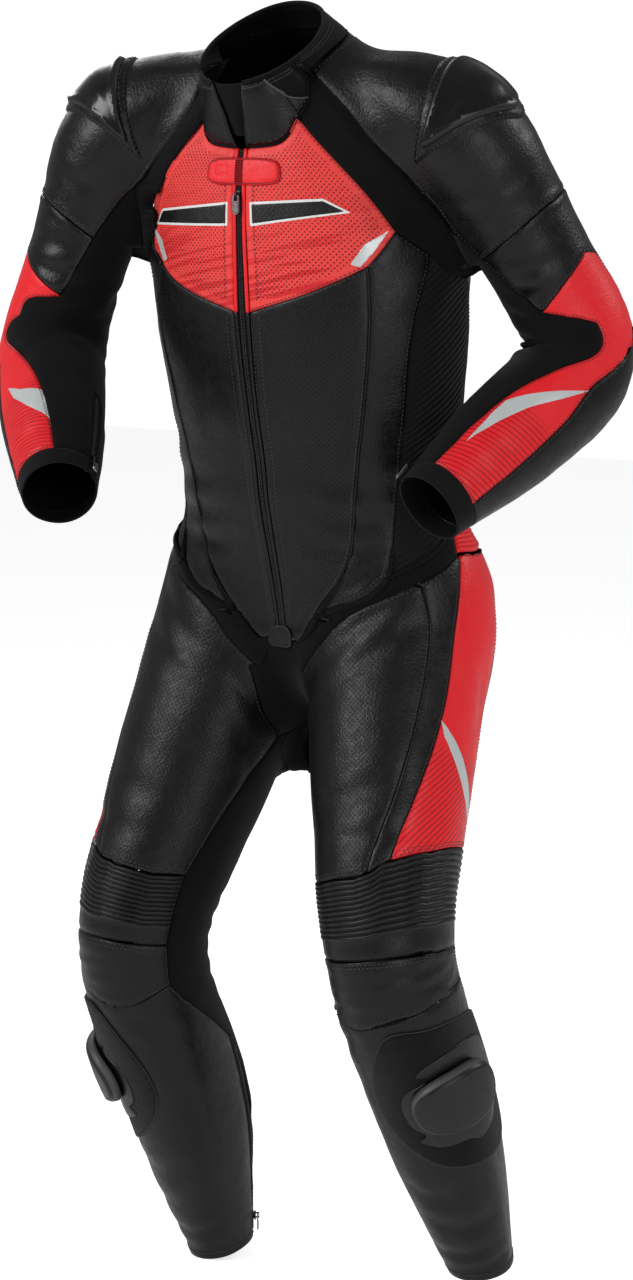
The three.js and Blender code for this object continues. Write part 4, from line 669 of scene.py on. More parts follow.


# Folds and relief

# Creases, from the shoulder to the cuff, down the trunk and down the leg:
# chart and sides, places along it, width and depth in millimetres. A negative depth
# stands up as a ridge.
CREASES = """
    AL 40,60 92,60 150,74 11 -1.6 | AR 44,48 96,52 140,66 12 -1.5 | AL 60,30 110,22 168,4 13 1.5 |
    AR 70,24 124,12 180,-6 13 1.5 | AL 86,120 140,138 196,150 12 1.6 | AR 90,126 138,146 186,160 14 1.4 |
    AL 252,-2 262,50 256,104 10 1.5 | AR 258,0 270,40 262,92 10 1.6 | AL 292,8 286,58 294,120 9 1.2 |
    AR 296,20 290,70 300,124 9 1.3 | AL 352,14 368,52 372,96 9 2 | AL 384,-12 398,22 396,60 8 2.3 |
    AL 408,-20 426,6 440,40 8 2.4 | AR 350,20 362,60 366,104 9 2.1 | AR 378,-10 392,30 392,74 8 2.2 |
    AR 404,-24 420,10 436,42 8 2.2 | ALR 356,160 372,200 360,236 10 1.7 |
    ALR 420,180 440,214 436,244 9 1.6 | ALR 440,-70 452,-30 470,8 8 3.2 | ALR 462,-84 474,-40 492,6 8 3.6 |
    ALR 486,-96 497,-46 512,0 8 3 | ALR 512,-100 524,-52 544,-14 9 2.2 |
    ALR 404,-100 412,-66 428,-40 8 2.2 | AL 560,30 596,48 640,34 10 1.6 | AR 566,36 606,52 648,36 10 1.7 |
    ALR 590,-60 640,-72 700,-62 10 1.8 | ALR 566,196 612,216 668,208 12 1.5 |
    ALR 690,20 712,60 706,108 9 1.1 | ALR 735,-10 750,60 742,140 9 1 | ALR 730,170 744,214 738,250 9 1.2 |
    ALR 764,40 768,90 762,150 6 0.9 | TL -150,84 -196,80 -250,66 13 2.2 |
    TR -156,76 -200,74 -256,62 13 2.3 | TLR -134,98 -180,100 -226,92 12 2 |
    TL -74,57 -118,62 -158,60 11 1.4 | TR -70,55 -112,58 -150,55 11 1.5 |
    TLR -428,30 -440,52 -430,76 14 1.9 | TLR -462,24 -476,46 -470,72 12 2 |
    TLR -500,20 -512,38 -510,58 10 1.5 | TLR -386,58 -398,82 -388,108 13 1.9 |
    TL -300,20 -340,30 -372,26 14 1 | TR -316,16 -350,28 -390,30 15 1 |
    TLR -350,100 -364,124 -356,150 13 1.7 | TLR -410,108 -424,138 -418,168 13 2 |
    TLR -446,118 -458,150 -450,176 12 2.1 | TLR -30,150 -70,138 -120,132 16 1.6 |
    TLR -190,122 -220,146 -228,174 16 1.5 | TLR -266,118 -290,142 -292,170 15 1.5 |
    LL 10,38 46,6 96,-30 12 2.3 | LR 6,40 44,10 92,-28 12 2.4 | LLR 42,44 84,14 132,-24 12 1.7 |
    LL 96,-40 128,-70 160,-92 12 2.6 | LR 90,-42 124,-72 150,-94 12 2.6 |
    LLR 150,-60 188,-82 224,-96 12 1.8 | LLR 80,92 120,104 176,100 13 1.6 | LL 236,40 262,0 280,-44 13 1.3 |
    LR 230,44 258,4 276,-40 13 1.3 | LLR 296,60 312,16 318,-30 10 1.4 | LLR 264,130 292,168 300,214 13 2 |
    LLR 96,148 132,178 158,216 14 2.4 | LLR 136,142 168,176 190,212 13 2.1 |
    LLR 352,126 366,176 358,236 9 3 | LLR 382,122 396,182 390,246 9 3.6 |
    LLR 414,124 424,180 420,248 9 3.6 | LLR 446,122 458,176 448,240 9 3 |
    LLR 478,128 492,176 486,226 10 2.2 | LLR 438,-58 444,0 438,84 6 1.6 | LLR 452,-50 457,14 456,100 6 1.4 |
    LLR 466,-62 472,-16 466,46 6 1.5 | LL 462,60 470,86 464,108 5 1.3 | LL 498,-30 512,-52 538,-80 10 1.7 |
    LR 500,-20 514,-46 540,-74 10 1.7 | LLR 520,120 560,134 606,128 12 1.6 |
    LL 720,-60 744,-10 738,44 13 1.2 | LR 716,-50 738,0 734,54 13 1.3 | LLR 778,-40 796,14 790,70 11 1.3 |
    LLR 828,-70 842,-14 836,60 9 1.4 | LLR 860,-40 868,20 862,96 8 1.1 |
    LLR 700,150 730,190 724,226 14 1.8 | LLR 780,148 806,186 800,218 12 1.8 |
    LLR 846,150 860,186 854,214 9 1.3
"""
DRAPE = ((75, 1.5, 0.0), (30, 0.55, 7.0))  # size, height and offset of the leather's slow unevenness


def crease_lines():
    """Every crease as points on the body with its width and depth."""
    for where, *places, width, depth in entries(CREASES):
        walk = smooth_path(places_of(places), np.linspace(0, 1, 10))
        for side in (LEFT, RIGHT):
            if TAG[side] in where[1:]:
                yield on_chart(where[0], side, walk[:, 0], walk[:, 1]), float(width), float(depth)


CREASE_LINES = list(crease_lines())


def crease_height(points):
    """How far the creases push the cloth out or in at points of the body."""
    height = np.zeros(len(points))
    for line, width, depth in CREASE_LINES:
        low, high = line.min(0) - 3 * width, line.max(0) + 3 * width
        near = np.flatnonzero(((points > low) & (points < high)).all(1))
        if not len(near):
            continue
        far, t = line_distance(points[near], line[:-1], np.diff(line, axis=0))
        k = far.argmin(1)
        far = far[np.arange(len(near)), k]
        along = (k + t[np.arange(len(near)), k]) / (len(line) - 1)
        fade = np.sin(np.pi * np.clip(along, 0.02, 0.98)) ** 0.8
        shape = 0.42 * swell(far, 1.9 * width, width) - swell(far, 0, width)
        height[near] += depth * fade * shape
    return height


def drape_height(points):
    """Slow, uneven rise and fall of worn leather."""
    height = np.zeros(len(points))
    for size, tall, offset in DRAPE:
        height += tall * np.array([noise.noise(Vector((x / size + offset, y / size, z / size)))
                                   for x, y, z in points.tolist()])
    return height


def seam_height(edge):
    """The valley along a sewn edge and the slight roll of leather beside it."""
    return (-SEAM_DEPTH * swell(edge, 0, 1.7) + 0.28 * swell(edge, 5.5, 3.0)
            - 0.3 * swell(edge, 2.8, 0.9))


def worn(panel, extra=0.0, drape=1.0):
    """The piece's points with its folds, seam valleys and any relief of its own."""
    height = crease_height(panel["body"]) + drape * drape_height(panel["body"])
    panel["height"] = height + seam_height(panel["edge"]) + extra
    panel["cloth"] = panel["body"] + panel["normal"] * panel["height"][:, None]
    return panel


def near_flat(panel):
    """Tree that finds a piece's face from a flat place."""
    if "tree" not in panel:
        flat = [Vector((x, y, 0)) for x, y in panel["flat"]]
        panel["tree"] = BVHTree.FromPolygons(flat, [tuple(int(i) for i in f) for f in panel["faces"]])
        # the faces look outward already
        panel["cloth_normal"] = turned_out(panel["cloth"], panel["faces"], 0, weigh=0)[1]
    return panel["tree"]


def on_cloth(panel, flat):
    """Points and normals of the finished cloth at flat places of the piece."""
    tree = near_flat(panel)
    face = np.array([tree.find_nearest((x, y, 0))[2] for x, y in flat])
    f = panel["faces"][face]
    a, b, c = (panel["flat"][f[:, k]] for k in range(3))
    v0, v1, v2 = b - a, c - a, np.asarray(flat) - a
    cross = v0[:, 0] * v1[:, 1] - v1[:, 0] * v0[:, 1]
    w1 = (v2[:, 0] * v1[:, 1] - v1[:, 0] * v2[:, 1]) / cross
    w2 = (v0[:, 0] * v2[:, 1] - v2[:, 0] * v0[:, 1]) / cross
    w = np.clip(np.stack([1 - w1 - w2, w1, w2], axis=1), 0, 1)
    w /= w.sum(1, keepdims=True)
    point = sum(panel["cloth"][f[:, k]] * w[:, k:k + 1] for k in range(3))
    normal = sum(panel["cloth_normal"][f[:, k]] * w[:, k:k + 1] for k in range(3))
    return point, unit(normal)


# Objects

def real_scale(panel):
    """How much wider the cloth is than its flat chart, so patterns keep their real size."""
    f = panel["faces"]

    def area(p):
        a, b = p[f[:, 1]] - p[f[:, 0]], p[f[:, 2]] - p[f[:, 0]]
        if p.shape[1] == 2:
            return np.abs(a[:, 0] * b[:, 1] - a[:, 1] * b[:, 0]).sum() / 2
        return np.linalg.norm(np.cross(a, b), axis=1).sum() / 2

    return area(panel["body"]) / area(panel["flat"]), area(panel["body"])


def flat_cut(panel):
    """Width, length and area in metres of the piece as it was cut, from its pattern."""
    widen, area = real_scale(panel)
    loop = panel["loop"] * [1, widen]
    best = None
    for turn in np.radians(np.arange(0, 180, 3)):
        c, s = math.cos(turn), math.sin(turn)
        size = np.ptp(loop @ np.array([[c, -s], [s, c]]), axis=0)
        if best is None or size[0] * size[1] < best[0] * best[1]:
            best = size
    width, length, area = float(best.min()) * MM, float(best.max()) * MM, float(area) * MM * MM
    # Where the chart squeezes a strip over the shoulder, its cut follows from its area: a
    # piece fills from a third of its smallest box, when pointed, to nearly all of it.
    width = min(max(width, area / (0.92 * length)), area / (0.34 * length))
    return width, length, area


def make_object(name, points, faces, finishes, uv=None, smooth=True, face_finish=None):
    """A mesh object at the origin from points in millimetres."""
    mesh = bpy.data.meshes.new(name)
    faces = [tuple(dict.fromkeys(map(int, face))) for face in faces]
    mesh.from_pydata((np.asarray(points) * MM).tolist(), [], faces)
    for finish in finishes.split():
        mesh.materials.append(FINISHES[finish])
    if face_finish is not None:
        mesh.polygons.foreach_set("material_index", np.asarray(face_finish, dtype=np.int32))
    mesh.polygons.foreach_set("use_smooth", np.full(len(mesh.polygons), smooth))
    if uv is not None:
        layer = mesh.uv_layers.new(name="cloth")
        corners = np.empty(len(mesh.loops), dtype=np.int32)
        mesh.loops.foreach_get("vertex_index", corners)
        layer.data.foreach_set("uv", (np.asarray(uv)[corners] * MM).astype(np.float32).ravel())
    mesh.update()
    obj = bpy.data.objects.new(name, mesh)
    bpy.context.collection.objects.link(obj)
    return obj


def mark(obj, **values):
    """Values at a piece's points that its finish reads: distance from its edge and height."""
    for name, value in values.items():
        layer = obj.data.attributes.new(name, "FLOAT", "POINT")
        layer.data.foreach_set("value", np.asarray(value, dtype=np.float32))


def lay(title, panel, finishes, node=None, slot=None, wall=1.2, share=None, parent=None):
    """A cut piece as an object with a cloth wall. A lining is the wall's inner finish, and
    share says which faces take the second finish."""
    faces = panel["faces"]
    obj = make_object(title, panel["cloth"], faces, finishes, uv=panel["flat"] * [1, real_scale(panel)[0]],
                      face_finish=None if share is None else share[faces].all(1))
    mark(obj, edge=panel["edge"], height=panel["height"])
    if wall:
        solid = obj.modifiers.new("wall", "SOLIDIFY")
        solid.thickness, solid.offset = wall * MM, -1
        solid.material_offset = int("lining" in finishes)
    ride_suit(obj, parent)
    if node:
        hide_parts(node)
    panel["object"] = obj
    return obj


def ride_suit(obj, parent=None):
    """A piece of the suit itself, under the piece that it is sewn or stuck to."""
    if parent:
        obj.parent = parent
    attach(obj, SUIT_BODY)
    return obj


def declare_sheet(panel, extras=(), cut=None):
    """The size that a piece was cut to, worked out from its pattern or given, and not passed on; extras, the
    trim that goes with it, is not used.
    """
    width, length, area = cut or flat_cut(panel)


def stitch_row(panel, walk, pitch, length, lift=0.2, breadth=0.62):
    """Stitches along a flat walk on a piece: points and faces of small thread humps."""
    run = run_along(walk)
    count = int(run[-1] // pitch)
    if count < 1:
        return np.zeros((0, 3)), np.zeros((0, 4), int)
    middle = (np.arange(count) + 0.5) * run[-1] / count

    def flat_at(s):
        return np.stack([np.interp(s, run, walk[:, k]) for k in range(2)], axis=1)

    centre, normal = on_cloth(panel, flat_at(middle))
    ahead, _ = on_cloth(panel, flat_at(np.minimum(middle + pitch * 0.5, run[-1])))
    behind, _ = on_cloth(panel, flat_at(np.maximum(middle - pitch * 0.5, 0)))
    along = unit(ahead - behind)
    across = unit(np.cross(normal, along))
    shape = [(-0.5, 0, -0.2), (-0.26, 1, 0), (-0.26, 0, 1), (-0.26, -1, 0),
             (0.26, 1, 0), (0.26, 0, 1), (0.26, -1, 0), (0.5, 0, -0.2)]
    points = np.stack([centre + along * (s * length) + across * (w * breadth) + normal * (lift + h * breadth)
                       for s, w, h in shape], axis=1).reshape(-1, 3)
    quads = np.array([(0, 2, 1, 1), (0, 3, 2, 2), (1, 2, 5, 4), (2, 3, 6, 5), (4, 5, 7, 7), (5, 6, 7, 7)])
    faces = (quads[None] + (np.arange(count) * 8)[:, None, None]).reshape(-1, 4)
    return points, faces


def edge_walk(panel, names, distance):
    """Flat walks beside the named seams of a piece, at a distance inside its edge."""
    count = len(panel["loop"])
    row = inset(panel["loop"], distance)
    wanted = np.array([n in names for n in panel["names"]])
    within, far = inside(row, panel["loop"])
    good = within & (far > distance * 0.7)
    walks, current = [], []
    start = next((i for i in range(count) if not wanted[i]), 0)
    for k in range(count + 1):
        i = (start + k) % count
        on = wanted[i] or (wanted[i - 1] and k > 0)
        if on and good[i]:
            current.append(row[i])
        if not on or k == count:
            if len(current) > 2:
                walks.append(np.array(current))
            current = []
    return walks


def rows_of(title, parent, rows, finish):
    """Runs of stitches or coil as one object under their piece."""
    starts = np.cumsum([0] + [len(points) for points, _ in rows])
    faces = np.concatenate([f + start for (_, f), start in zip(rows, starts)])
    return ride_suit(make_object(title, np.concatenate([p for p, _ in rows]), faces, finish), parent)


def sew_rows(panel, jobs, thread="thread_black", pitch=5.0, length=3.5):
    """Top stitching of a piece: seam names, then distances from the edge; next ones after a comma."""
    rows = []
    for words in map(str.split, jobs.split(",")):
        seams = [word for word in words if word[0].isalpha()]
        for distance in words[len(seams):]:
            rows += [stitch_row(panel, walk, pitch, length)
                     for walk in edge_walk(panel, seams, float(distance))]
    return rows_of(panel["object"].name + "_stitches", panel["object"], rows, thread)


# Finishes

def linear(hex_colour):
    """An sRGB hex colour as linear red, green, blue and alpha."""
    value = [int(hex_colour[i:i + 2], 16) / 255 for i in (1, 3, 5)]
    return (*[c / 12.92 if c <= 0.04045 else ((c + 0.055) / 1.055) ** 2.4 for c in value], 1.0)


def hex_of(colour):
    """A colour setting as sRGB hex."""
    value = [12.92 * c if c <= 0.0031308 else 1.055 * c ** (1 / 2.4) - 0.055 for c in colour[:3]]
    return "#" + "".join(f"{max(0, min(255, round(c * 255))):02x}" for c in value)


TIMES, MINUS, SINE, TIMES_PLUS, MOST = (
    dict(operation=name) for name in ("MULTIPLY", "SUBTRACT", "SINE", "MULTIPLY_ADD", "MAXIMUM"))
MIX = dict(out=2, data_type="RGBA")  # factor is input 0, the two colours are inputs 6 and 7
SOFT = dict(interpolation_type="SMOOTHSTEP")  # value, from, to, from share, to share
TURN = 2 * math.pi / MM


def add_node(tree, kind, inputs=(), out=0, **settings):
    """One node with its settings and links. An input is a value or another node's output."""
    made = tree.nodes.new("ShaderNode" + kind)
    for key, value in settings.items():
        setattr(made, key, value)
    for socket, value in inputs.items() if isinstance(inputs, dict) else enumerate(inputs):
        if isinstance(value, bpy.types.NodeSocket):
            tree.links.new(value, made.inputs[socket])
        else:
            made.inputs[socket].default_value = value
    return made.outputs[out]


def finish_of(name, build, **sockets):
    """A material: uniform sockets by name, then build(add, place) gives colour, gloss and relief."""
    material = bpy.data.materials.new(name)
    material.use_nodes = True
    tree = material.node_tree
    shader = tree.nodes["Principled BSDF"]
    for socket, value in sockets.items():
        shader.inputs[socket.replace("_", " ")].default_value = value
    add = partial(add_node, tree)
    for socket, output in build(add, add("TexCoord", out="Object")).items():
        tree.links.new(output, shader.inputs[socket.replace("_", " ")])
    return material


def wear_and_painted_light(add, shade, place, lighter, darker):
    """Colour with painted shade down in seams and folds, and rubbed wear with a painted highlight on ridges.
    """
    height, edge = (add("Attribute", out="Fac", attribute_name=name) for name in ("height", "edge"))
    patch = add("TexNoise", {"Vector": place, "Scale": 26.0, "Detail": 4.0, "Roughness": 0.6})
    # raised ridges: rubbed wear in patches, and a painted highlight where the cloth stands up
    rubbed = add("Math", (add("MapRange", (height, 0.5, 2.4), **SOFT),
                          add("MapRange", (patch, 0.42, 0.7, 0.0, 0.7), **SOFT)), **TIMES)
    # folds and seam valleys: painted shade, darker where the cloth sinks and near its sewn edge
    sunk = add("Math", (add("MapRange", (height, -0.9, -3.2, 0.0, 0.55), **SOFT),
                        add("MapRange", (edge, 1.8, 0.0, 0.0, 0.75), **SOFT)), **MOST)
    colour = add("Mix", {0: rubbed, 6: linear(shade), 7: linear(lighter)}, **MIX)
    return add("Mix", {0: sunk, 6: colour, 7: linear(darker)}, **MIX)


def perforation(add, pitch_mm=6.4, hole_mm=2.0, margin_mm=9.0):
    """1 inside the punched holes of a staggered grid. Real holes are 1 mm at 4 mm; they are
    drawn coarser so that they still show at the size of the whole suit."""
    place = add("UVMap", uv_map="cloth")
    down = add("SeparateXYZ", (add("VectorMath", (place, (2000 / pitch_mm,) * 3), **TIMES),))
    across = add("SeparateXYZ", (add("VectorMath", (place, (1000 / pitch_mm,) * 3), **TIMES),), out=1)
    row = add("Math", (add("Math", (down,), operation="FLOOR"), 2.0), operation="MODULO")
    across = add("Math", (row, 0.5, across), **TIMES_PLUS)
    x = add("Math", (add("Math", (across,), operation="FRACT"), 0.5), **MINUS)
    y = add("Math", (add("Math", (down,), operation="FRACT"), 0.5, -0.25), **TIMES_PLUS)
    far = add("VectorMath", (add("CombineXYZ", (x, y)),), out="Value", operation="LENGTH")
    share = hole_mm / pitch_mm / 2
    hole = add("MapRange", (far, share * 1.2, share * 0.7), **SOFT)
    edge = add("Attribute", out="Fac", attribute_name="edge")
    return add("Math", (hole, add("MapRange", (edge, margin_mm, margin_mm + 0.6), **SOFT)), **TIMES)


def leather(name, shade, lighter, darker, rough, grain_mm, depth_mm, punched=0.0, print_of=None, coat=0.0,
            level=0.5):
    """Full-grain cowhide, drum dyed and pigment finished: a soft broad highlight broken by
    pebbled grain, painted shade in folds and seams, and rubbed wear with a painted highlight on ridges."""

    def build(add, place):
        # colour with painted shade in folds and seams and a painted highlight on rubbed ridges
        colour = wear_and_painted_light(add, shade, place, lighter, darker)
        cells = add("TexVoronoi", {"Vector": place, "Scale": 1000 / grain_mm, "Randomness": 0.9},
                    feature="SMOOTH_F1")
        pores = add("TexNoise", {"Vector": place, "Scale": 1000 / (grain_mm * 0.45), "Detail": 2.0})
        dents = add("TexNoise", {"Vector": place, "Scale": 95.0, "Detail": 3.0})
        relief = add("Bump", {"Strength": 0.85, "Distance": depth_mm * MM,
                              "Height": add("Math", (pores, 0.35, cells), **TIMES_PLUS)})
        relief = add("Bump", {"Strength": 0.28, "Distance": 0.8 * MM, "Height": dents, "Normal": relief})
        if print_of:
            colour = print_of(add, place, colour)
        if punched:
            hole = perforation(add)
            dark = add("Math", (hole, punched), **TIMES)
            colour = add("Mix", {0: dark, 6: colour, 7: linear("#050404")}, **MIX)
            relief = add("Bump", {"Strength": 1.0, "Distance": 0.9 * MM, "Height": hole, "Normal": relief},
                         invert=True)
        gloss = add("MapRange", (dents, 0.3, 0.7, rough - 0.05, rough + 0.07), **SOFT)
        return dict(Base_Color=colour, Roughness=gloss, Normal=relief)

    return finish_of(name, build, IOR=1.5, Coat_Weight=coat, Coat_Roughness=0.3, Specular_IOR_Level=level)


def chest_print(add, place, colour):
    """Darker brushed streaks that rise towards the lower edge of the red chest."""
    height = add("SeparateXYZ", (place,), out=2)
    low = add("MapRange", (height, -0.09, -0.2, 0.25, 1.0), **SOFT)
    turned = add("Mapping", {"Vector": place, "Rotation": (0, 0.22, 0)})
    drawn = add("VectorMath", (turned, (11.0, 11.0, 170.0)), **TIMES)
    lines = add("TexNoise", {"Vector": drawn, "Scale": 1.0, "Detail": 3.0})
    mask = add("Math", (add("MapRange", (lines, 0.48, 0.6, 0.0, 0.8), **SOFT), low), **TIMES)
    pale = add("Mix", {0: 0.4, 6: colour, 7: linear("#f4675c")}, **MIX)
    return add("Mix", {0: mask, 6: pale, 7: linear("#cf141d")}, **MIX)


def stripes(add, pitch_mm, slant=0.0, way=0):
    """Place along the cloth, and a wave from -1 to 1 at a pitch along it or, with way=1, across it."""
    places = [add("SeparateXYZ", (add("UVMap", uv_map="cloth"),), out=k) for k in (way, 1 - way)]
    slanted = add("Math", (places[1], slant, places[0]), **TIMES_PLUS)
    return places[0], add("Math", (add("Math", (slanted, TURN / pitch_mm), **TIMES),), **SINE)


def rib_print(pitch_mm, slant, low, high):
    """Thin darker lines printed across the cloth between two places along it."""

    def printed(add, place, colour):
        along, wave = stripes(add, pitch_mm, slant)
        line = add("MapRange", (wave, 0.4, 0.8, 0.0, 0.85), **SOFT)
        window = add("Math", (add("MapRange", (along, low * MM, (low + 25) * MM), **SOFT),
                              add("MapRange", (along, high * MM, (high - 12) * MM), **SOFT)), **TIMES)
        inked = add("Math", (line, window), **TIMES)
        return add("Mix", {0: inked, 6: colour, 7: linear("#a5121a")}, **MIX)

    return printed


def stretch_fabric(name, shade, rib_mm=0.0, slant=0.0, rough=0.8, lighter="#151517", level=0.18):
    """Aramid stretch knit on foam: matte, with a short soft sheen, a close ribbed weave and painted shade in
    its rib grooves, folds and seams.
    Real yarns are 0.4 mm; they are drawn at 1.6 mm so that they show."""

    def build(add, place):
        waves = [stripes(add, 1.6, way=way)[1] for way in (0, 1)]
        relief = add("Bump", {"Strength": 0.4, "Distance": 0.25 * MM, "Height": add("Math", waves, **TIMES)})
        # colour with painted shade in folds and seams and a painted highlight on ridges
        colour = wear_and_painted_light(add, shade, place, lighter, "#020202")
        if rib_mm:
            wave = add("Math", (stripes(add, rib_mm, slant)[1], 0.5, 0.5), **TIMES_PLUS)
            ridge = add("Math", (wave, 0.6), operation="POWER")
            relief = add("Bump", {"Strength": 1.0, "Distance": 1.6 * MM, "Height": ridge, "Normal": relief})
            # painted shade in the rib grooves: the colour runs to near black between the ribs
            crest = add("MapRange", (ridge, 0.45, 0.9), **SOFT)
            colour = add("Mix", {0: crest, 6: linear("#020202"), 7: colour}, **MIX)
        return dict(Base_Color=colour, Normal=relief)

    return finish_of(name, build, Roughness=rough, IOR=1.45, Sheen_Weight=0.05, Sheen_Roughness=0.5,
                     Specular_IOR_Level=level)


def plastic(name, shade, rough, grit_mm, grit_depth, scuff="#3a3a3c"):
    """Injection-moulded thermoplastic: even colour, fine spark texture and a few rubbed marks."""

    def build(add, place):
        grit = add("TexNoise", {"Vector": place, "Scale": 1000 / grit_mm, "Detail": 2.0})
        marks = add("TexNoise", {"Vector": place, "Scale": 60.0, "Detail": 5.0, "Roughness": 0.7})
        scuffed = add("MapRange", (marks, 0.62, 0.8, 0.0, 0.5), **SOFT)
        return dict(Base_Color=add("Mix", {0: scuffed, 6: linear(shade), 7: linear(scuff)}, **MIX),
                    Roughness=add("MapRange", (marks, 0.35, 0.75, rough - 0.04, rough + 0.12), **SOFT),
                    Normal=add("Bump", {"Strength": 0.4, "Distance": grit_depth * MM, "Height": grit}))

    return finish_of(name, build, IOR=1.49)


def spotted(name, shade, other, spots, window=None, gloss=None, relief=None, kind="TexNoise", **sockets):
    """A finish that wanders between two shades in fine spots. window is the run of the spots'
    strength and the most of the other shade; gloss and relief follow the same spots."""

    def build(add, place):
        spot = add(kind, {"Vector": place, **spots})
        share = add("MapRange", (spot, *window[:2], 0.0, window[2]), **SOFT) if window else spot
        made = dict(Base_Color=add("Mix", {0: share, 6: linear(shade), 7: linear(other)}, **MIX))
        if gloss:
            made["Roughness"] = add("MapRange", (spot, 0.3, 0.7, *gloss), **SOFT)
        if relief:
            made["Normal"] = add("Bump", {"Strength": relief[0], "Distance": relief[1] * MM, "Height": spot})
        return made

    return finish_of(name, build, **sockets)


def mesh_lining(name, shade):
    """Polyester net lining on foam: dull, with rows of round eyelets drawn 6 mm apart."""

    def build(add, place):
        eye = perforation(add, pitch_mm=6.0, hole_mm=2.6, margin_mm=-1.0)
        return dict(Base_Color=add("Mix", {0: eye, 6: linear(shade), 7: linear("#010101")}, **MIX),
                    Normal=add("Bump", {"Strength": 0.8, "Distance": 0.6 * MM, "Height": eye}, invert=True))

    return finish_of(name, build, Roughness=0.85, Specular_IOR_Level=0.2)


def paper_finish(name, shade):
    """Matt studio paper, lit on its own from behind: pale, with the slightest unevenness."""

    def build(add, place):
        seen = add("LightPath", out="Is Camera Ray")
        cloud = add("MapRange", (add("TexNoise", {"Vector": place, "Scale": 2.0}), 0.0, 1.0, 0.0, 0.1))
        return dict(Base_Color=add("Mix", {0: cloud, 6: linear(shade), 7: linear("#e6e6e8")}, **MIX),
                    Emission_Strength=add("MapRange", (seen, 0.0, 1.0, 0.1, 0.72)))

    return finish_of(name, build, Roughness=0.9, Emission_Color=linear("#ffffff"))


FINISHES = {}
# after the dye: rubbed wear with a painted highlight on ridges, then painted shade in folds and seams
RED_WEAR_AND_PAINTED_LIGHT = ("#f8403c", "#8c0d14")
BLACK_WEAR_AND_PAINTED_LIGHT = ("#242427", "#040404")


def mix_finishes(look):
    """Every finish of the suit, from the user's red, black and stretch colours."""
    red, black, cloth = hex_of(look.red), hex_of(look.black), hex_of(look.stretch)
    reds, blacks = (red, *RED_WEAR_AND_PAINTED_LIGHT), (black, *BLACK_WEAR_AND_PAINTED_LIGHT)
    rubbed = (dict(Scale=350.0, Detail=3.0), (0.5, 0.75, 0.6))
    twist = (dict(Scale=420.0, Detail=1.0), (0.35, 0.65, 0.6))
    bonded = dict(Roughness=0.5, IOR=1.53)
    # the leathers' two colours after the dye, and a stretch fabric's lighter colour, are rubbed wear with a
    # painted highlight on ridges; the darker ones are painted shade in folds and seams
    FINISHES.update(
        red_leather=leather("red pigmented cowhide", *reds, 0.44, 2.6, 0.4, level=0.35),
        red_punched=leather("red perforated cowhide", *reds, 0.46, 2.6, 0.4, punched=0.7, level=0.3,
                            print_of=chest_print),
        red_sleeve=leather("red cowhide with ribbed print", *reds, 0.42, 2.6, 0.4, level=0.35,
                           print_of=rib_print(6.5, 0.25, 640, 790)),
        red_thigh=leather("red cowhide with slanted print", *reds, 0.38, 2.6, 0.4, level=0.35, coat=0.05,
                          print_of=rib_print(8.0, 0.9, 190, 345)),
        black_leather=leather("black cowhide", *blacks, 0.36, 2.8, 0.42, level=0.32),
        black_grained=leather("black grained cowhide", *blacks, 0.38, 3.2, 0.45, level=0.34),
        black_punched=leather("black perforated cowhide", black, "#1c1c1f", "#040404", 0.4, 3.0, 0.45,
                              punched=1.0, level=0.32),
        stretch=stretch_fabric("aramid stretch knit", cloth),
        ribbed_flank=stretch_fabric("ribbed aramid stretch knit", cloth, rib_mm=8.0, slant=-0.6, level=0.3,
                                    lighter="#1f1f22"),
        neoprene=stretch_fabric("neoprene with nylon jersey face", "#070708", rough=0.72),
        lining=mesh_lining("polyester net lining", "#0c0c0e"),
        cup=plastic("moulded polyurethane", "#121214", 0.45, 0.9, 0.12),
        cup_panel=plastic("moulded polyurethane, polished", "#050506", 0.2, 1.4, 0.05),
        slider=plastic("cast nylon", "#070708", 0.4, 1.2, 0.3),
        slider_edge=plastic("cast nylon, grey rim", "#48484b", 0.5, 1.0, 0.2, scuff="#8a8a8c"),
        tape=stretch_fabric("woven polyester zip tape", "#08080a", rib_mm=1.8),
        coil=plastic("nylon coil", "#141416", 0.32, 1.0, 0.05),
        # die-cast zinc, tumbled: metal whose edges are polished by use
        metal=spotted("blackened zinc", "#2a2a2c", "#8d8d90", *rubbed, gloss=(0.42, 0.28), Metallic=1.0),
        steel=spotted("brushed zinc", "#8c8c8f", "#8d8d90", *rubbed, gloss=(0.38, 0.24), Metallic=1.0),
        # bonded nylon thread: slightly shiny, with tiny shade changes from stitch to stitch
        thread_black=spotted("black bonded nylon thread", "#323236", "#000000", *twist, **bonded),
        thread_red=spotted("dark red bonded nylon thread", "#7c1015", "#000000", *twist, **bonded),
        # heat-pressed retroreflective film: pale silver, satin, with a bead-like speckle
        film=spotted("retroreflective film", "#dfe5e4", "#9ea3a6", dict(Scale=900.0), (0.2, 0.6, 0.25),
                     relief=(0.3, 0.1), kind="TexVoronoi", Roughness=0.32, Metallic=0.25),
        ink_black=leather("black print on perforated cowhide", black, "#1c1c1f", "#070707", 0.4, 2.6, 0.4,
                          punched=1.0),
        ink_white=leather("white print on perforated cowhide", "#e9eceb", "#ffffff", "#a9a9a9", 0.4, 1.6,
                          0.25),
        # brushed loop fabric that hooks hold to: a short dense nap, the mattest black on the suit
        loop=spotted("brushed loop fabric", "#040405", "#151516",
                     dict(Scale=700.0, Detail=4.0, Roughness=0.8),
                     relief=(0.9, 0.9), Roughness=0.95, Sheen_Weight=0.15, Specular_IOR_Level=0.1),
        floor=paper_finish("pale studio paper", "#f2f2f3"),
        dark_red_tape=stretch_fabric("dark red woven tape", "#cc1119", rib_mm=1.8),
    )


# Cloth pieces

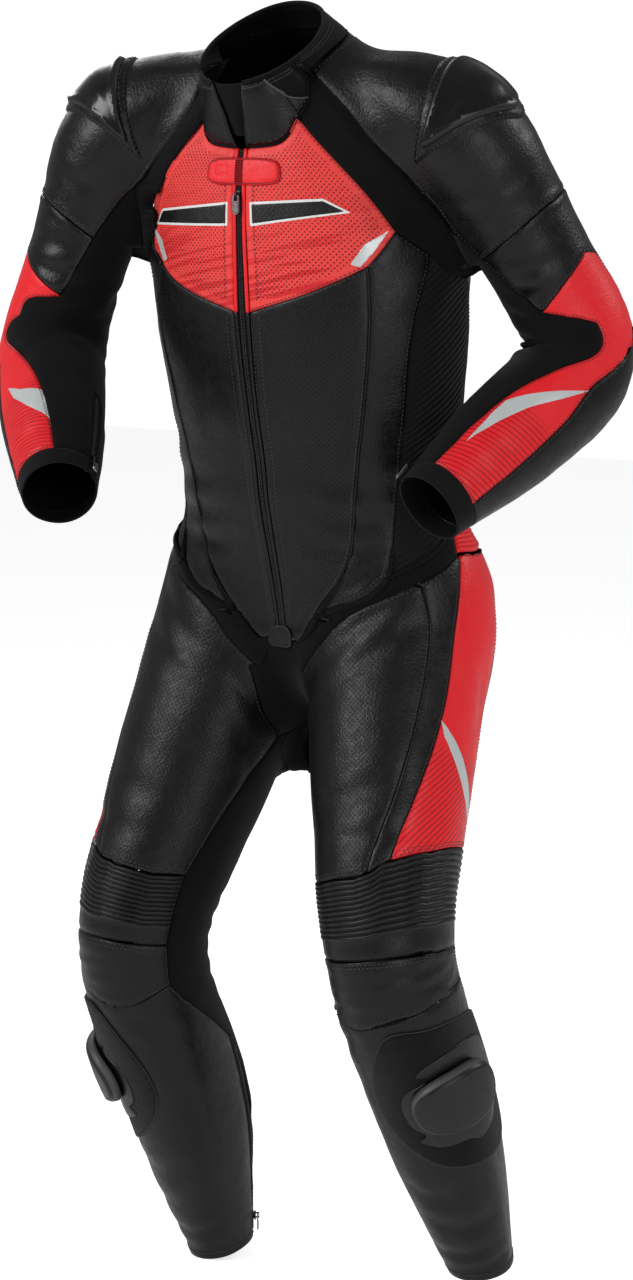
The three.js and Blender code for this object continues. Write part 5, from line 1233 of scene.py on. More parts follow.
# Pieces of one side: chart, start angle, finish, packed slot, seams in order, then top
# stitching as seams and distances from the edge.
PIECES = {
    "chest": ("T", 4, "red_punched", "red_leather",
        "zipUpper chestV chestSide chestRaglan collarFront",
        "chestV 2.6, chestRaglan 2.6, zipUpper 12.5"),
    "raglan_strip": ("T", 45, "stretch", "stretch_fabric",
        "collarSide raglan armpitFore flankHead raglanFoot chestRaglan",
        ""),
    "belly": ("T", 4, "black_punched", "black_leather",
        "zipLower hipInner bellySide chestV",
        "chestV 2.8, zipLower 3 12.5, bellySide 3, hipInner 2.8"),
    "side_strip": ("T", 55, "black_leather", "black_leather",
        "chestSide raglanFoot stripSide hipMiddle bellySide",
        "chestSide raglanFoot 2.8, stripSide 3, hipMiddle 2.8"),
    "flank": ("T", 80, "ribbed_flank", "stretch_fabric",
        "flankHead sideSeam lumbarHeadSide hipOuter stripSide",
        ""),
    "shoulder": ("A", 45, "black_grained", "grained_leather",
        "collarRear raglan sleeveFront sleeveBand sleeveBack backRaglan",
        "raglan collarRear 2.8, sleeveBand 2.8 5.8, backRaglan 2.8, sleeveFront sleeveBack 2.8"),
    "upper_sleeve": ("A", 0, "black_leather", "black_leather",
        "sleeveBand upperBack elbowHead redBack redHead upperFront",
        "redHead redBack 2.8, upperFront upperBack 2.8, elbowHead 2.8 5.6"),
    "sleeve_red": ("A", 110, "red_sleeve", "red_leather",
        "redHead redBack foreOuter cuffHeadRed foreInner redHollow",
        "redHollow foreInner 2.6, cuffHeadRed 2.6, foreOuter 2.6"),
    "forearm_guard": ("A", 145, "black_leather", "black_leather",
        "elbowHead foreBack cuffHeadOut foreOuter",
        "foreOuter 3, foreBack 2.8, cuffHeadOut 2.8"),
    "inner_sleeve": ("A", -30, "stretch", "stretch_fabric",
        "armpitFore armpitAft sleeveBack upperBack foreBack cuffHeadBack cuffZipAft cuffZipFore cuffHeadIn "
        "foreInner redHollow upperFront sleeveFront",
        ""),
    "cuff": ("A", -29, "neoprene", "stretch_fabric",
        "cuffHeadIn cuffHeadRed cuffHeadOut cuffHeadBack cuffEndBack cuffHem cuffEndFront",
        ""),
    "thigh_front": ("L", 50, "black_punched", "black_leather",
        "hipHem crotchFront innerSeam kneeHeadIn stripSeam",
        "hipHem 2.8, stripSeam 2.8, kneeHeadIn 3 6.2, crotchFront innerSeam 2.8"),
    "thigh_strip": ("L", 60, "black_leather", "black_leather",
        "hipHemOuter stripSeam kneeHeadStrip redSeam",
        "kneeHeadStrip 3 6.2, redSeam 2.8, hipHemOuter 2.8"),
    "thigh_red": ("L", 60, "red_thigh", "red_leather",
        "lumbarHemSide thighSeam kneeHeadOut redSeam",
        "kneeHeadOut 3 6.2, lumbarHemSide 2.8, thighSeam 2.8"),
    "knee_band": ("L", -66, "black_leather", "black_leather",
        "bandHead bandSideOut bandFoot bandSideIn",
        "bandHead 3 6, bandFoot 3, bandSideIn bandSideOut 2.8"),
    "shin": ("L", -70, "black_leather", "black_leather",
        "bandFoot shinOuter hemShin ankleZipFore shinInner",
        "shinOuter 2.8, shinInner ankleZipFore 2.8, hemShin 9"),
    "leg_back": ("L", 118, "stretch", "stretch_fabric",
        "lumbarHemBack seatSeam crotchBack innerSeam kneeSideIn bandSideIn shinInner ankleZipAft hemCalf "
        "shinOuter bandSideOut kneeSideOut thighSeam",
        "hemCalf 9, ankleZipAft 3"),
}
OPEN_SEAMS = {"groinCut", "crotchHead", "cuffHem", "cuffHemZip", "hemShin", "hemCalf", "hemZip", "zipHead"}
SEWN = {}  # each side's finished pieces, for the trim that goes onto them


def seam_distance(panel, wanted):
    """How far each flat point of a piece lies from the named seams."""
    loop = panel["loop"]
    pick = np.array([i for i, n in enumerate(panel["names"]) if n in wanted])
    if not len(pick):
        return np.full(len(panel["flat"]), 1e3)
    return line_distance(panel["flat"], loop[pick], loop[(pick + 1) % len(loop)] - loop[pick])[0].min(1)


def close_edges(panel):
    """Edge distances that leave out the pattern's open cuts and hems."""
    panel["edge"] = seam_distance(panel, set(panel["names"]) - OPEN_SEAMS)
    return panel


def piece_relief(name, panel):
    """Relief of one kind of piece: the zip's stitched lip, a turned hem, a padded shoulder edge."""
    if name in ("chest", "belly"):
        far = seam_distance(panel, {"zipUpper", "zipLower"})
        return 0.9 * (smooth_step(far, 0, 3) * (1 - smooth_step(far, 8.5, 10.5)) - swell(far, 11, 1.6))
    if name in ("shin", "leg_back"):
        far = seam_distance(panel, {"hemShin", "hemCalf"})
        return 0.7 * (1 - smooth_step(far, 8, 11)) - 0.8 * swell(far, 9, 1.5)
    far = seam_distance(panel, {"sleeveBand"})
    if name == "shoulder":
        return 0.5 * swell(far, 8, 3) - 0.9 * swell(far, 12, 1.8)
    return 0.8 * swell(far, 4, 4) if name == "upper_sleeve" else 0.0


def sew_side(names):
    """Cuts, wears and sews the named pieces on both sides."""
    for name in names.split():
        chart, start, finish, slot, refs, rows = PIECES[name]
        for side in (LEFT, RIGHT):
            panel = close_edges(cut_panel(chart, side, start, refs, GRAIN))
            worn(panel, extra=piece_relief(name, panel), drape=0.5 if name == "cuff" else 1.0)
            title = f"{name}_{WORD[side]}"
            lay(title, panel, finish + " lining", f"{name}_{TAG[side]}", slot, CLOTH_WALL)
            thread = "thread_red" if finish.startswith("red") else "thread_black"
            declare_sheet(panel, [sew_rows(panel, rows, thread)] if rows else [])
            SEWN[title] = panel


RIB_PHASES = (0.0, 0.1, 0.28, 0.5, 0.72, 0.9)


def pleated(chart, side, head, foot, start, share, ribs, height, step=4.4):
    """A cushion quilted into level ribs between a head and a foot seam. share is the part
    of the way from head to foot that is ribbed."""
    scale = flat_scale(chart)
    a, b = (to_chart(chart, side, seam_chain(refs, side, step)[0], start) * scale for refs in (head, foot))
    columns = max(len(a), len(b))
    t = np.linspace(0, 1, columns)

    def even(run):
        length = run_along(run)
        return np.stack([np.interp(t * length[-1], length, run[:, k]) for k in range(2)], axis=1)

    a, b = even(a), even(b)
    rib_rows = [(k + p) / ribs * share for k in range(ribs) for p in RIB_PHASES]
    plain_rows = np.linspace(share, 1, max(2, int(round((1 - share) * 16))) + 1)
    s = np.array(rib_rows + plain_rows.tolist())
    flat = (a[None] * (1 - s)[:, None, None] + b[None] * s[:, None, None]).reshape(-1, 2)
    body = on_chart(chart, side, flat[:, 0] / scale[0], flat[:, 1] / scale[1])
    rows = len(s)
    index = np.arange(rows * columns).reshape(rows, columns)
    faces = np.stack([index[:-1, :-1], index[1:, :-1], index[1:, 1:], index[:-1, 1:]], axis=-1).reshape(-1, 4)
    tris = np.concatenate([faces[:, :3], faces[:, [0, 2, 3]]])
    ss, tt = (g.ravel() for g in np.meshgrid(s, t, indexing="ij"))
    grid = body.reshape(rows, columns, 3)
    tall = np.mean([run_along(grid[:, k])[-1] for k in range(0, columns, 6)])
    wide = run_along(grid[rows // 2])[-1]
    edge = np.minimum.reduce([ss * tall, (1 - ss) * tall, tt * wide, (1 - tt) * wide])
    loop = np.concatenate([a, even_side(a[-1], b[-1]), b[::-1], even_side(b[0], a[0])])
    panel = outward(dict(chart=chart, side=side, flat=flat, body=body, faces=tris, edge=edge, loop=loop))
    wander = np.array([noise.noise(Vector((x * 0.03, y * 0.03, 4.0 + z * 0.03)))
                       for x, y, z in body.tolist()])
    crest = np.abs(np.sin(np.pi * np.clip(ss / share, 0, 1) * ribs)) ** 0.55 * (1 + 0.25 * wander)
    ends = 0.35 + 0.65 * smooth_step(np.minimum(tt, 1 - tt) * wide, 0, 9)
    return worn(panel, extra=np.where(ss < share - 1e-6, height * (crest - 0.45), 0) * ends, drape=0.6)


def even_side(start, end, count=6):
    """Points between two corners."""
    return start + (end - start) * np.linspace(0, 1, count + 2)[1:-1, None]


def sew_knees():
    """The quilted cushion over each knee."""
    for side in (LEFT, RIGHT):
        panel = pleated("L", side, "kneeHeadIn kneeHeadStrip kneeHeadOut", "bandHead", -68, 0.76, 12, 2.7)
        lay(f"knee_accordion_{WORD[side]}", panel, "black_leather lining", f"knee_accordion_{TAG[side]}",
            "black_leather", CLOTH_WALL)
        declare_sheet(panel)


def sew_lumbar():
    """The quilted cushion across the small of the back."""
    panel = pleated("T", LEFT, "lumbarHeadSide lumbarHeadBack lumbarHeadSide!",
                    "lumbarHemSide lumbarHemBack lumbarHemBack! lumbarHemSide!", 90, 0.97, 7, 3.0)
    lay("lumbar_cushion", panel, "red_leather lining", "lumbar_accordion", "red_leather", CLOTH_WALL)
    declare_sheet(panel)


def sew_back():
    """The back of the jacket, in one piece."""
    panel = worn(close_edges(cut_panel(*BACK_PATCH, GRAIN)))
    lay("back_panel", panel, "black_leather lining", "back_upper", "black_leather", CLOTH_WALL)
    declare_sheet(panel, [sew_rows(panel, "backRaglan 2.8 5.6, sideSeam 2.8, lumbarHeadBack 2.8")])


def sew_gusset():
    """Three patches of one crotch piece: left hip, right hip and the strip between the legs."""
    parts = [worn(close_edges(cut_panel(*patch, GRAIN))) for patch in GUSSET_PATCHES]
    starts = np.cumsum([0] + [len(p["cloth"]) for p in parts])
    whole = {key: np.concatenate([p[key] for p in parts]) for key in ("cloth", "body", "edge", "height")}
    whole["flat"] = np.concatenate([p["flat"] * [1, real_scale(p)[0]] for p in parts])
    whole["faces"] = np.concatenate([p["faces"] + start for p, start in zip(parts, starts)])
    obj = lay("crotch_gusset", whole, "stretch lining", "gusset", "stretch_fabric", CLOTH_WALL)
    join = bmesh.new()
    join.from_mesh(obj.data)
    bmesh.ops.remove_doubles(join, verts=join.verts, dist=0.3 * MM)
    join.to_mesh(obj.data)
    join.free()
    declare_sheet(whole, cut=(0.42, 0.47, sum(real_scale(p)[1] for p in parts) * MM * MM))


# Laid-on pieces

def patch_on(chart, side, loop_places, step):
    """A piece that lies on the cloth, from a closed loop of chart places."""
    scale = flat_scale(chart)
    loop = resample(np.vstack([loop_places, loop_places[:1]]) * scale, step)[:-1]
    ring = on_chart(chart, side, loop[:, 0] / scale[0], loop[:, 1] / scale[1])
    return fill_loop(chart, side, loop, ring, ["edge"] * len(loop), step)


def oval_places(u, v, half_u, half_v, power, taper=0.0, count=72):
    """Places round a softly squared oval."""
    t = np.arange(count) / count * 2 * np.pi
    c = np.sign(np.cos(t)) * np.abs(np.cos(t)) ** (2 / power)
    s = np.sign(np.sin(t)) * np.abs(np.sin(t)) ** (2 / power)
    return np.stack([u + half_u * c, v + half_v * s * (1 + taper * c)], axis=1)


def smooth_loop(places, count=90):
    """Places of a smooth closed curve through the given ones."""
    pts = np.asarray(places, float)
    t = np.linspace(0, len(pts), count, endpoint=False)
    i = t.astype(int)
    w = (t - i)[:, None]
    a, b, c, d = (pts[(i + k) % len(pts)] for k in (-1, 0, 1, 2))
    return 0.5 * (2 * b + (c - a) * w + (2 * a - 5 * b + 4 * c - d) * w**2 + (3 * b - a - 3 * c + d) * w**3)


def shaped(panel, height):
    """Gives a laid-on piece its height over the body."""
    panel["cloth"] = panel["body"] + panel["normal"] * (np.zeros(len(panel["body"])) + height)[:, None]
    panel["height"] = np.zeros(len(panel["body"]))
    return panel


def film_on(title, host, places, finish, lift=0.35, step=3.0):
    """Thin film pressed onto a finished piece of cloth."""
    film = patch_on(host["chart"], host["side"], places, step)
    point, normal = on_cloth(host, film["flat"])
    film["cloth"] = point + normal * (lift * (1 - 0.65 * np.exp(-film["edge"] / 0.6)))[:, None]
    film["height"] = np.zeros(len(point))
    film["edge"] = film["edge"] + 20
    return lay(title, film, finish, wall=0, parent=host["object"])


def tube(title, line, normals, radius, finish, parent, squash=1.0, sides=8):
    """Piping or binding: a rounded rod along a line of points."""
    along = unit(np.gradient(line, axis=0))
    across = unit(np.cross(normals, along))
    up = unit(np.cross(along, across))
    turn = np.linspace(0, 2 * np.pi, sides, endpoint=False)
    rings = (line[:, None] + across[:, None] * (np.cos(turn) * radius)[None, :, None]
             + up[:, None] * (np.sin(turn) * radius * squash)[None, :, None])
    index = np.arange(len(line) * sides).reshape(len(line), sides)
    right = np.roll(index, -1, axis=1)
    faces = np.stack([index[:-1], right[:-1], right[1:], index[1:]], axis=-1).reshape(-1, 4).tolist()
    faces += [index[0, ::-1].tolist(), index[-1].tolist()]
    flat = np.meshgrid(run_along(line), np.arange(sides) * radius, indexing="ij")
    flat = np.stack(flat, axis=-1).reshape(-1, 2)
    obj = make_object(title, rings.reshape(-1, 3), faces, finish, uv=flat)
    mark(obj, edge=np.full(len(flat), 5))
    return ride_suit(obj, parent)


# Collar

RIM = dict(x=72.0, y=75.0, z=48.5, mid_y=-34.0, mid_z=79.5)
COLLAR_LEAN = Sections("angle rim", (0, 0), (38, 45), (55, 75), (96, 122), (128, 146), (180, 180))
COLLAR_NOTCH = 17


def rim_point(degrees, less=0.0):
    """A point on the collar's upper rim, counted round from the front."""
    a = np.radians(degrees)
    return np.stack([(RIM["x"] - less) * np.sin(a), RIM["mid_y"] - (RIM["y"] - less) * np.cos(a),
                     RIM["mid_z"] - RIM["z"] * np.cos(a)], axis=-1)


def grid_piece(points):
    """A piece from rows of points, its flat places measured along rows and columns."""
    rows, columns = points.shape[:2]
    down = np.stack([run_along(points[:, k]) for k in range(columns)], axis=1)
    wide = np.concatenate([[0], np.cumsum(np.linalg.norm(np.diff(points, axis=1), axis=2).mean(0))])
    flat = np.stack([down, np.tile(wide, (rows, 1))], axis=-1)
    index = np.arange(rows * columns).reshape(rows, columns)
    quads = np.stack([index[:-1, :-1], index[:-1, 1:], index[1:, 1:], index[1:, :-1]], axis=-1).reshape(-1, 4)
    faces = np.concatenate([quads[:, :3], quads[:, [0, 2, 3]]])
    body = points.reshape(-1, 3)
    faces, normal = turned_out(body, faces, [0, -6.0, 40.0], [1, 1, 0])  # away from the neck's middle line
    edge = np.minimum.reduce([down, down[-1] - down, 0 * down + wide, wide[-1] - wide + 0 * down])
    loop = np.concatenate([flat[0], flat[1:, -1], flat[-1, -2::-1], flat[-2:0:-1, 0]])
    return dict(chart="T", side=LEFT, flat=flat.reshape(-1, 2), body=body, normal=normal, faces=faces,
                edge=edge.ravel(), loop=loop, names=["edge"] * len(loop), down=down, wide=wide)


def sew_collar():
    """Stand collar with a V in front, its binding, stitching and the bib that closes it."""
    nape = seam("collarNape", LEFT, 4.0)[1]
    right, left = (seam_chain("collarFront collarSide collarRear", s, 4.0)[0] for s in (RIGHT, LEFT))
    if np.linalg.norm(nape[0] - right[-1]) > np.linalg.norm(nape[-1] - right[-1]):
        nape = nape[::-1]
    foot = np.concatenate([right, nape[1:-1], left[::-1]])
    angle = to_chart("T", LEFT, foot, 0)[:, 1]
    angle = (angle + 180) % 360 - 180
    turn = np.maximum(COLLAR_LEAN(np.abs(angle))["rim"], COLLAR_NOTCH)
    top = rim_point(np.sign(angle) * turn)
    out = np.stack([np.sin(np.radians(angle)), -np.cos(np.radians(angle)), 0 * angle], axis=1)
    t = np.linspace(0, 1, 22)[:, None, None]
    points = (foot - out * 0.6)[None] * (1 - t) + top[None] * t + out[None] * (1.6 * np.sin(np.pi * t))
    piece = grid_piece(points)
    down = piece["down"].ravel()
    tall = np.tile(piece["down"][-1], (22, 1)).ravel()
    roll = np.sin(down / np.maximum(tall, 1) * 9 + piece["body"][:, 0] * 0.02)
    level = 0.9 * roll * smooth_step(tall, 36, 80)
    groove = -0.8 * swell(tall - down, 8.5, 1.5) - 0.7 * swell(down, 3.0, 1.6)
    piece["edge"] = np.minimum(down, 30) + 2.0
    shaped(piece, drape_height(piece["body"]) * 0.55 + level + groove)
    collar = lay("stand_collar", piece, "neoprene lining", "collar", "stretch_fabric", wall=3.0)
    rows = [stitch_row(piece, np.stack([piece["down"][-1] - far, piece["wide"]], axis=1), 4.2, 3.1)
            for far in (6.5, 10.5)]
    for column, way in ((0, 1), (-1, -1)):
        height = piece["down"][-1, column]
        rows.append(stitch_row(piece, np.array([(d, piece["wide"][column] + way * 3.2)
                                                for d in np.linspace(3, height - 4, 12)]), 4.2, 3.1))
    stitches = rows_of("stand_collar_stitches", collar, rows, "thread_black")
    cloth = piece["cloth"].reshape(22, -1, 3)
    extras = [stitches,
              tube("collar_binding", cloth[-1] - out * 1.2, out, 2.5, "neoprene", collar, squash=1.15)]
    for word, column in (("right", 0), ("left", -1)):
        extras.append(tube(f"collar_v_binding_{word}", cloth[:, column] - [0, -0.8, 0],
                           np.tile(out[column], (22, 1)), 1.9, "black_leather", collar))
        extras += collar_wing(word, piece, cloth, np.abs(angle) < 44, 1 if column == 0 else -1, collar)
    declare_sheet(piece, extras)
    sew_bib()


def collar_wing(word, piece, cloth, near, way, collar):
    """Leather facing beside the V, with piping along its rear edge and two stitch rows."""
    columns = np.flatnonzero(near & ((np.arange(len(near)) < len(near) / 2) == (way == 1)))
    columns = columns[::way]
    rows, span = cloth.shape[0] - 2, len(columns)
    reach = np.linspace(0.62, 1.0, rows)[::-1] ** 1.2
    normal = piece["normal"].reshape(cloth.shape)
    steps = np.linspace(0, 1, span)[None] * reach[:, None] * (span - 1)
    low = np.clip(steps.astype(int), 0, span - 2)
    part = (steps - low)[..., None]
    row = np.arange(1, rows + 1)[:, None]
    at = lambda grid: grid[row, columns[low]] * (1 - part) + grid[row, columns[low + 1]] * part
    points = at(cloth) + at(normal) * 0.9
    wing = grid_piece(points)
    wing["edge"] = wing["edge"] + 0.6
    shaped(wing, 0.5 * smooth_step(wing["edge"], 0.6, 3.0) - 0.4 * swell(wing["edge"], 4.0, 0.9))
    leaf = lay(f"collar_wing_{word}", wing, "black_leather", wall=0.9, parent=collar)
    out = at(normal)[:, -1]
    return [leaf, sew_rows(wing, "edge 3.2"),
            tube(f"collar_wing_{word}_piping", points[:, -1] + out * 0.5, out, 1.2, "slider_edge", collar)]


def sew_bib():
    """Soft bib behind the V, with two quilted lines, that closes the neck."""
    seam_y, seam_z = seam("collarFront", LEFT, 4.0)[1][0][1:]
    across = np.linspace(-1, 1, 41)
    rim = rim_point(across * 32, 3.4)
    low = np.stack([rim[:, 0] * 0.55, seam_y + 4.2 + across**2 * 12, seam_z + across**2 * 12], axis=1)
    t = np.linspace(0.2, 1.0, 22)[:, None, None]
    piece = grid_piece(low[None] * (1 - t) + rim[None] * t)
    shaped(piece, 0.8 * np.cos(piece["body"][:, 0] * 0.16) * np.sin(piece["down"].ravel() * 0.09))
    lay("neck_bib", piece, "stretch lining", "collar_bib", "stretch_fabric", wall=1.8)
    declare_sheet(piece)


# Armour and sliders

CUP_LOOP = loop_of("151,100 155,60 162,22 170,-4 180,2 197,46 212,88 224,124 216,146 190,152 164,142 152,124")
CUP_MIDDLE = np.array([184.0, 86.0])


def make_cups():
    """Shoulder cups: a stitched leather collar round a moulded shell with a sunk field."""
    for side in (LEFT, RIGHT):
        shift = np.array([0.0, 0.0 if side == LEFT else -8.0])
        loop = smooth_loop(CUP_LOOP) + shift
        middle = CUP_MIDDLE + shift
        base = patch_on("A", side, loop, 3.4)
        e = base["edge"]
        shaped(base, -1.2 + 6.2 * smooth_step(e, -0.5, 6) + 3.0 * smooth_step(e, 8, 26)
               - 1.0 * swell(e, 7.5, 1.6))
        title = f"shoulder_cup_{WORD[side]}"
        cup = lay(title, base, "black_leather", f"shoulder_cup_{TAG[side]}", "cup_plastic")
        sew_rows(base, "edge 3 7.4")
        shell = patch_on("A", side, middle + (loop - middle) * 0.74, 3.0)
        e = shell["edge"]
        shaped(shell, 5.0 + 5.6 * smooth_step(e, -0.3, 3.4) - 1.5 * smooth_step(e, 3.4, 6.0)
               + 4.2 * smooth_step(e, 8, 34))
        lay(f"shoulder_shell_{WORD[side]}", shell, "cup cup_panel", share=e > 3.3, parent=cup)


PATCH_LOOP = loop_of("492,10 512,-8 560,-28 610,-34 650,-22 690,14 708,60 712,104 690,126 600,134 534,122 "
                     "506,78 496,40")
FLANGE_LOOP = loop_of("536,40 548,20 560,26 574,4 600,-4 626,0 640,12 650,4 662,24 664,52 672,66 664,92 "
                      "640,112 600,118 560,108 540,84 534,62")


def make_sliders():
    """Loop patch on each shin, the slider's hooked flange and its thick moulded puck."""
    for side in (LEFT, RIGHT):
        word, tag = WORD[side], TAG[side]
        patch = patch_on("L", side, smooth_loop(PATCH_LOOP), 4.2)
        shaped(patch, -0.8 + 3.6 * smooth_step(patch["edge"], -0.4, 2.4))
        loop = lay(f"slider_patch_{word}", patch, "loop", f"slider_patch_{tag}", "stretch_fabric")
        sew_rows(patch, "edge 2.2", pitch=3.4)
        flange = patch_on("L", side, smooth_loop(FLANGE_LOOP), 3.0)
        e = flange["edge"]
        shaped(flange, 2.4 + 2.2 * smooth_step(e, -0.4, 1.6) + 0.5 * smooth_step(e, 6, 9))
        lay(f"slider_flange_{word}", flange, "slider", parent=loop)
        puck = patch_on("L", side, oval_places(597, 50, 43, 41, 2.25, count=110), 2.6)
        e = puck["edge"]
        shaped(puck, 4.0 + 14.5 * smooth_step(e, -2.2, 3.0) + 3.6 * smooth_step(e, 2.5, 8)
               + 2.8 * (1 - np.exp(-e / 18)) - 0.5 * swell(e, 12, 0.9))
        lay(f"knee_slider_{word}", puck, "slider_edge slider", f"knee_slider_{tag}", "slider_plastic",
            wall=1.6, share=e > 3.3)


def make_hump():
    """Back hump: a padded leather fairing with a raised red spine and stitched panel lines."""
    hump = patch_on("T", LEFT, oval_places(-86, 180, 138, 40, 2.3, taper=0.18, count=130), 5.0)
    e, u = hump["edge"], hump["flat"][:, 0]
    v = np.abs(hump["flat"][:, 1] / flat_scale("T")[1] - 180)
    line = 15.0 - 0.035 * (u + 86)
    detail = -1.3 * np.exp(-((v - line) * 1.1) ** 2) + 2.0 * smooth_step(line - 1.2 - v, 0, 3)
    shaped(hump, -1.0 + 3.4 * smooth_step(e, -0.5, 3) + 49 * smooth_step(e, 0, 62)
           + detail * smooth_step(e, 10, 26) - 0.9 * swell(e, 8, 1.7))
    obj = lay("back_hump", hump, "black_leather", "hump", "black_leather", wall=2.0)
    sew_rows(hump, "edge 3 8")
    spine = oval_places(-86, 180, 106, 11.5, 3.0, taper=-0.12, count=90)
    film_on("back_hump_spine", hump, spine, "red_leather", lift=0.9)


# Zips and pulls

PIVOT_HEIGHT = 6.3
TAB = dict(wide=9.0, long=22.0, thick=1.8, window=4.4, window_end=6.2, bar=0.9)
# A slider's lower and upper wings, the post between them, and the bridge: size, middle, narrowing.
SLIDER = (((8.4, 12.0, 1.6), (0, 0, 0.1), 0.22), ((8.0, 11.2, 1.6), (0, 0, 3.2), 0.22),
          ((2.2, 10.8, 2.6), (0, 0, 1.6), 0.0), ((2.0, 1.6, 4.4), (0, 3.2, 5.8), 0.0),
          ((2.0, 1.6, 4.4), (0, -3.2, 5.8), 0.0), ((2.0, 8.0, 0.9), (0, 0, 8.2), 0.0))


def zip_frame(panel, chart, side, u, v, back):
    """Place on a zip: origin, across, along and outward directions."""
    here, there = on_chart(chart, side, np.array([u, u + back], float), np.array([v, v], float))
    near = np.linalg.norm(panel["body"] - here, axis=1).argsort()[:12]
    z = unit(panel["normal"][near].mean(0))
    up = there - here
    y = unit(up - z * (up @ z))
    return here, np.cross(y, z), y, z


def placed(points, frame_at):
    """Points given across, along and outward at a place on a zip."""
    here, x, y, z = frame_at
    p = np.asarray(points, float)
    return here + p[:, :1] * x + p[:, 1:2] * y + p[:, 2:3] * z


def carved(title, blocks, frame_at, finish, bevel):
    """Small cast part from bevelled blocks: (size, middle, narrowing towards the top)."""
    work = bmesh.new()
    for size, middle, narrow in blocks:
        for vertex in bmesh.ops.create_cube(work, size=1.0)["verts"]:
            x, y, z = vertex.co
            vertex.co = Vector((x * size[0] * (1 - narrow * (y + 0.5)) + middle[0], y * size[1] + middle[1],
                                z * size[2] + middle[2]))
    bmesh.ops.bevel(work, geom=work.edges[:], offset=bevel, segments=2, profile=0.6, affect="EDGES")
    work.verts.index_update()
    points = placed([tuple(v.co) for v in work.verts], frame_at)
    faces = [[v.index for v in f.verts] for f in work.faces]
    work.free()
    return make_object(title, points, faces, finish)


def pull_tab(title, frame_at, node, body):
    """Flat cast pull with a window that loops through the slider's bridge."""
    w, top, bottom = TAB["wide"] / 2, TAB["bar"], TAB["bar"] - TAB["long"]
    rim = [(cx + r * math.cos(a), cy + r * math.sin(a))
           for cx, cy, r, first in ((w - 1.6, top - 1.6, 1.6, 0), (-w + 1.6, top - 1.6, 1.6, 90),
                                    (-w + 3.4, bottom + 3.4, 3.4, 180), (w - 3.4, bottom + 3.4, 3.4, 270))
           for a in np.radians(np.linspace(first, first + 90, 7))]
    half = TAB["window"] / 2
    head, foot = -TAB["bar"], -TAB["window_end"]
    hole = [(-half, head), (-half, foot), (half, foot), (half, head)]
    n = len(rim)
    edges = [(i, (i + 1) % n) for i in range(n)] + [(n + i, n + (i + 1) % 4) for i in range(4)]
    found = delaunay_2d_cdt([Vector(p) for p in rim + hole], edges, [], 0, 1e-6, True)
    flat = np.array([tuple(p) for p in found[0]])
    tris = np.array([tuple(f) for f in found[2]])
    middle = flat[tris].mean(1)
    tris = tris[inside(middle, np.array(rim))[0] & ~inside(middle, np.array(hole))[0]]
    face = PIVOT_HEIGHT + TAB["thick"] / 2
    points = placed(np.column_stack([flat, np.full(len(flat), face)]), frame_at)
    a, b, c = points[tris[0]]
    if np.cross(b - a, c - a) @ frame_at[3] < 0:
        tris = tris[:, ::-1]
    obj = make_object(title, points, tris, "steel", smooth=False)
    wall = obj.modifiers.new("plate", "SOLIDIFY")
    wall.thickness, wall.offset = TAB["thick"] * MM, -1
    soft = obj.modifiers.new("rounded edge", "BEVEL")
    soft.width, soft.segments, soft.limit_method = 0.45 * MM, 2, "ANGLE"
    ridges = [((5.6, 1.1, 0.8), (0, y, face), 0.0) for y in (-10.4, -12.8, -15.2, -17.6)]
    grip = carved(f"{title}_grip", ridges, frame_at, "steel", 0.2)
    grip.parent = obj
    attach(obj, body)
    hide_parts(node)


def make_zip(title, chart, side, start, refs, spine, at, back, node, pull_node, pull_body):
    """Woven tape with a toothed coil, its slider and its pull."""
    panel = cut_panel(chart, side, start, refs, 4.0)
    spine = np.asarray(spine, float) * flat_scale(chart)
    close = np.abs(panel["flat"][:, 1] - np.interp(panel["flat"][:, 0], spine[:, 0], spine[:, 1]))
    shaped(panel, -1.0 + 0.5 * swell(close, 0, 3.2))
    tape = lay(title, panel, "tape", node, "zip_tape")
    walk = resample(spine, 2.6)
    rows_of(f"{title}_coil", tape, [stitch_row(panel, walk + [0, way * 1.5], 2.6, 2.1, lift=0.6, breadth=1.15)
                                    for way in (-1, 1)], "coil")
    frame_at = zip_frame(panel, chart, side, *at, back)
    ride_suit(carved(f"{title}_slider", SLIDER, frame_at, "metal", 0.3), tape)
    pull_tab(f"{title}_pull", frame_at, pull_node, pull_body)


def make_zips():
    """The front zip, and one at each cuff and ankle."""
    make_zip("front_zip", "T", LEFT, 4, "zipUpper zipLower crotchHead zipLower! zipUpper! zipHead",
             [(u, 0.0) for u in np.linspace(-616, -44, 60)], (-96, 0), 12,
             "zip_main", "zip_main_pull", "main_pull")
    for side in (LEFT, RIGHT):
        word, tag = WORD[side], TAG[side]
        make_zip(f"cuff_zip_{word}", "A", side, -30,
                 "cuffZipFore cuffEndFront cuffHemZip cuffEndBack cuffZipAft",
                 [(u, -36.5) for u in np.linspace(664, 806, 30)], (786, -36.5), -12, f"cuff_zip_{tag}",
                 f"cuff_pull_{tag}", f"{word}_cuff_pull")
        make_zip(f"ankle_zip_{word}", "L", side, -136, "ankleZipFore hemZip ankleZipAft",
                 [(u, -140.5 - 2.0 * (u - 600) / 280) for u in np.linspace(612, 882, 40)], (862, -142), -12,
                 f"ankle_zip_{tag}", f"ankle_pull_{tag}", f"{word}_ankle_pull")
    make_lips()


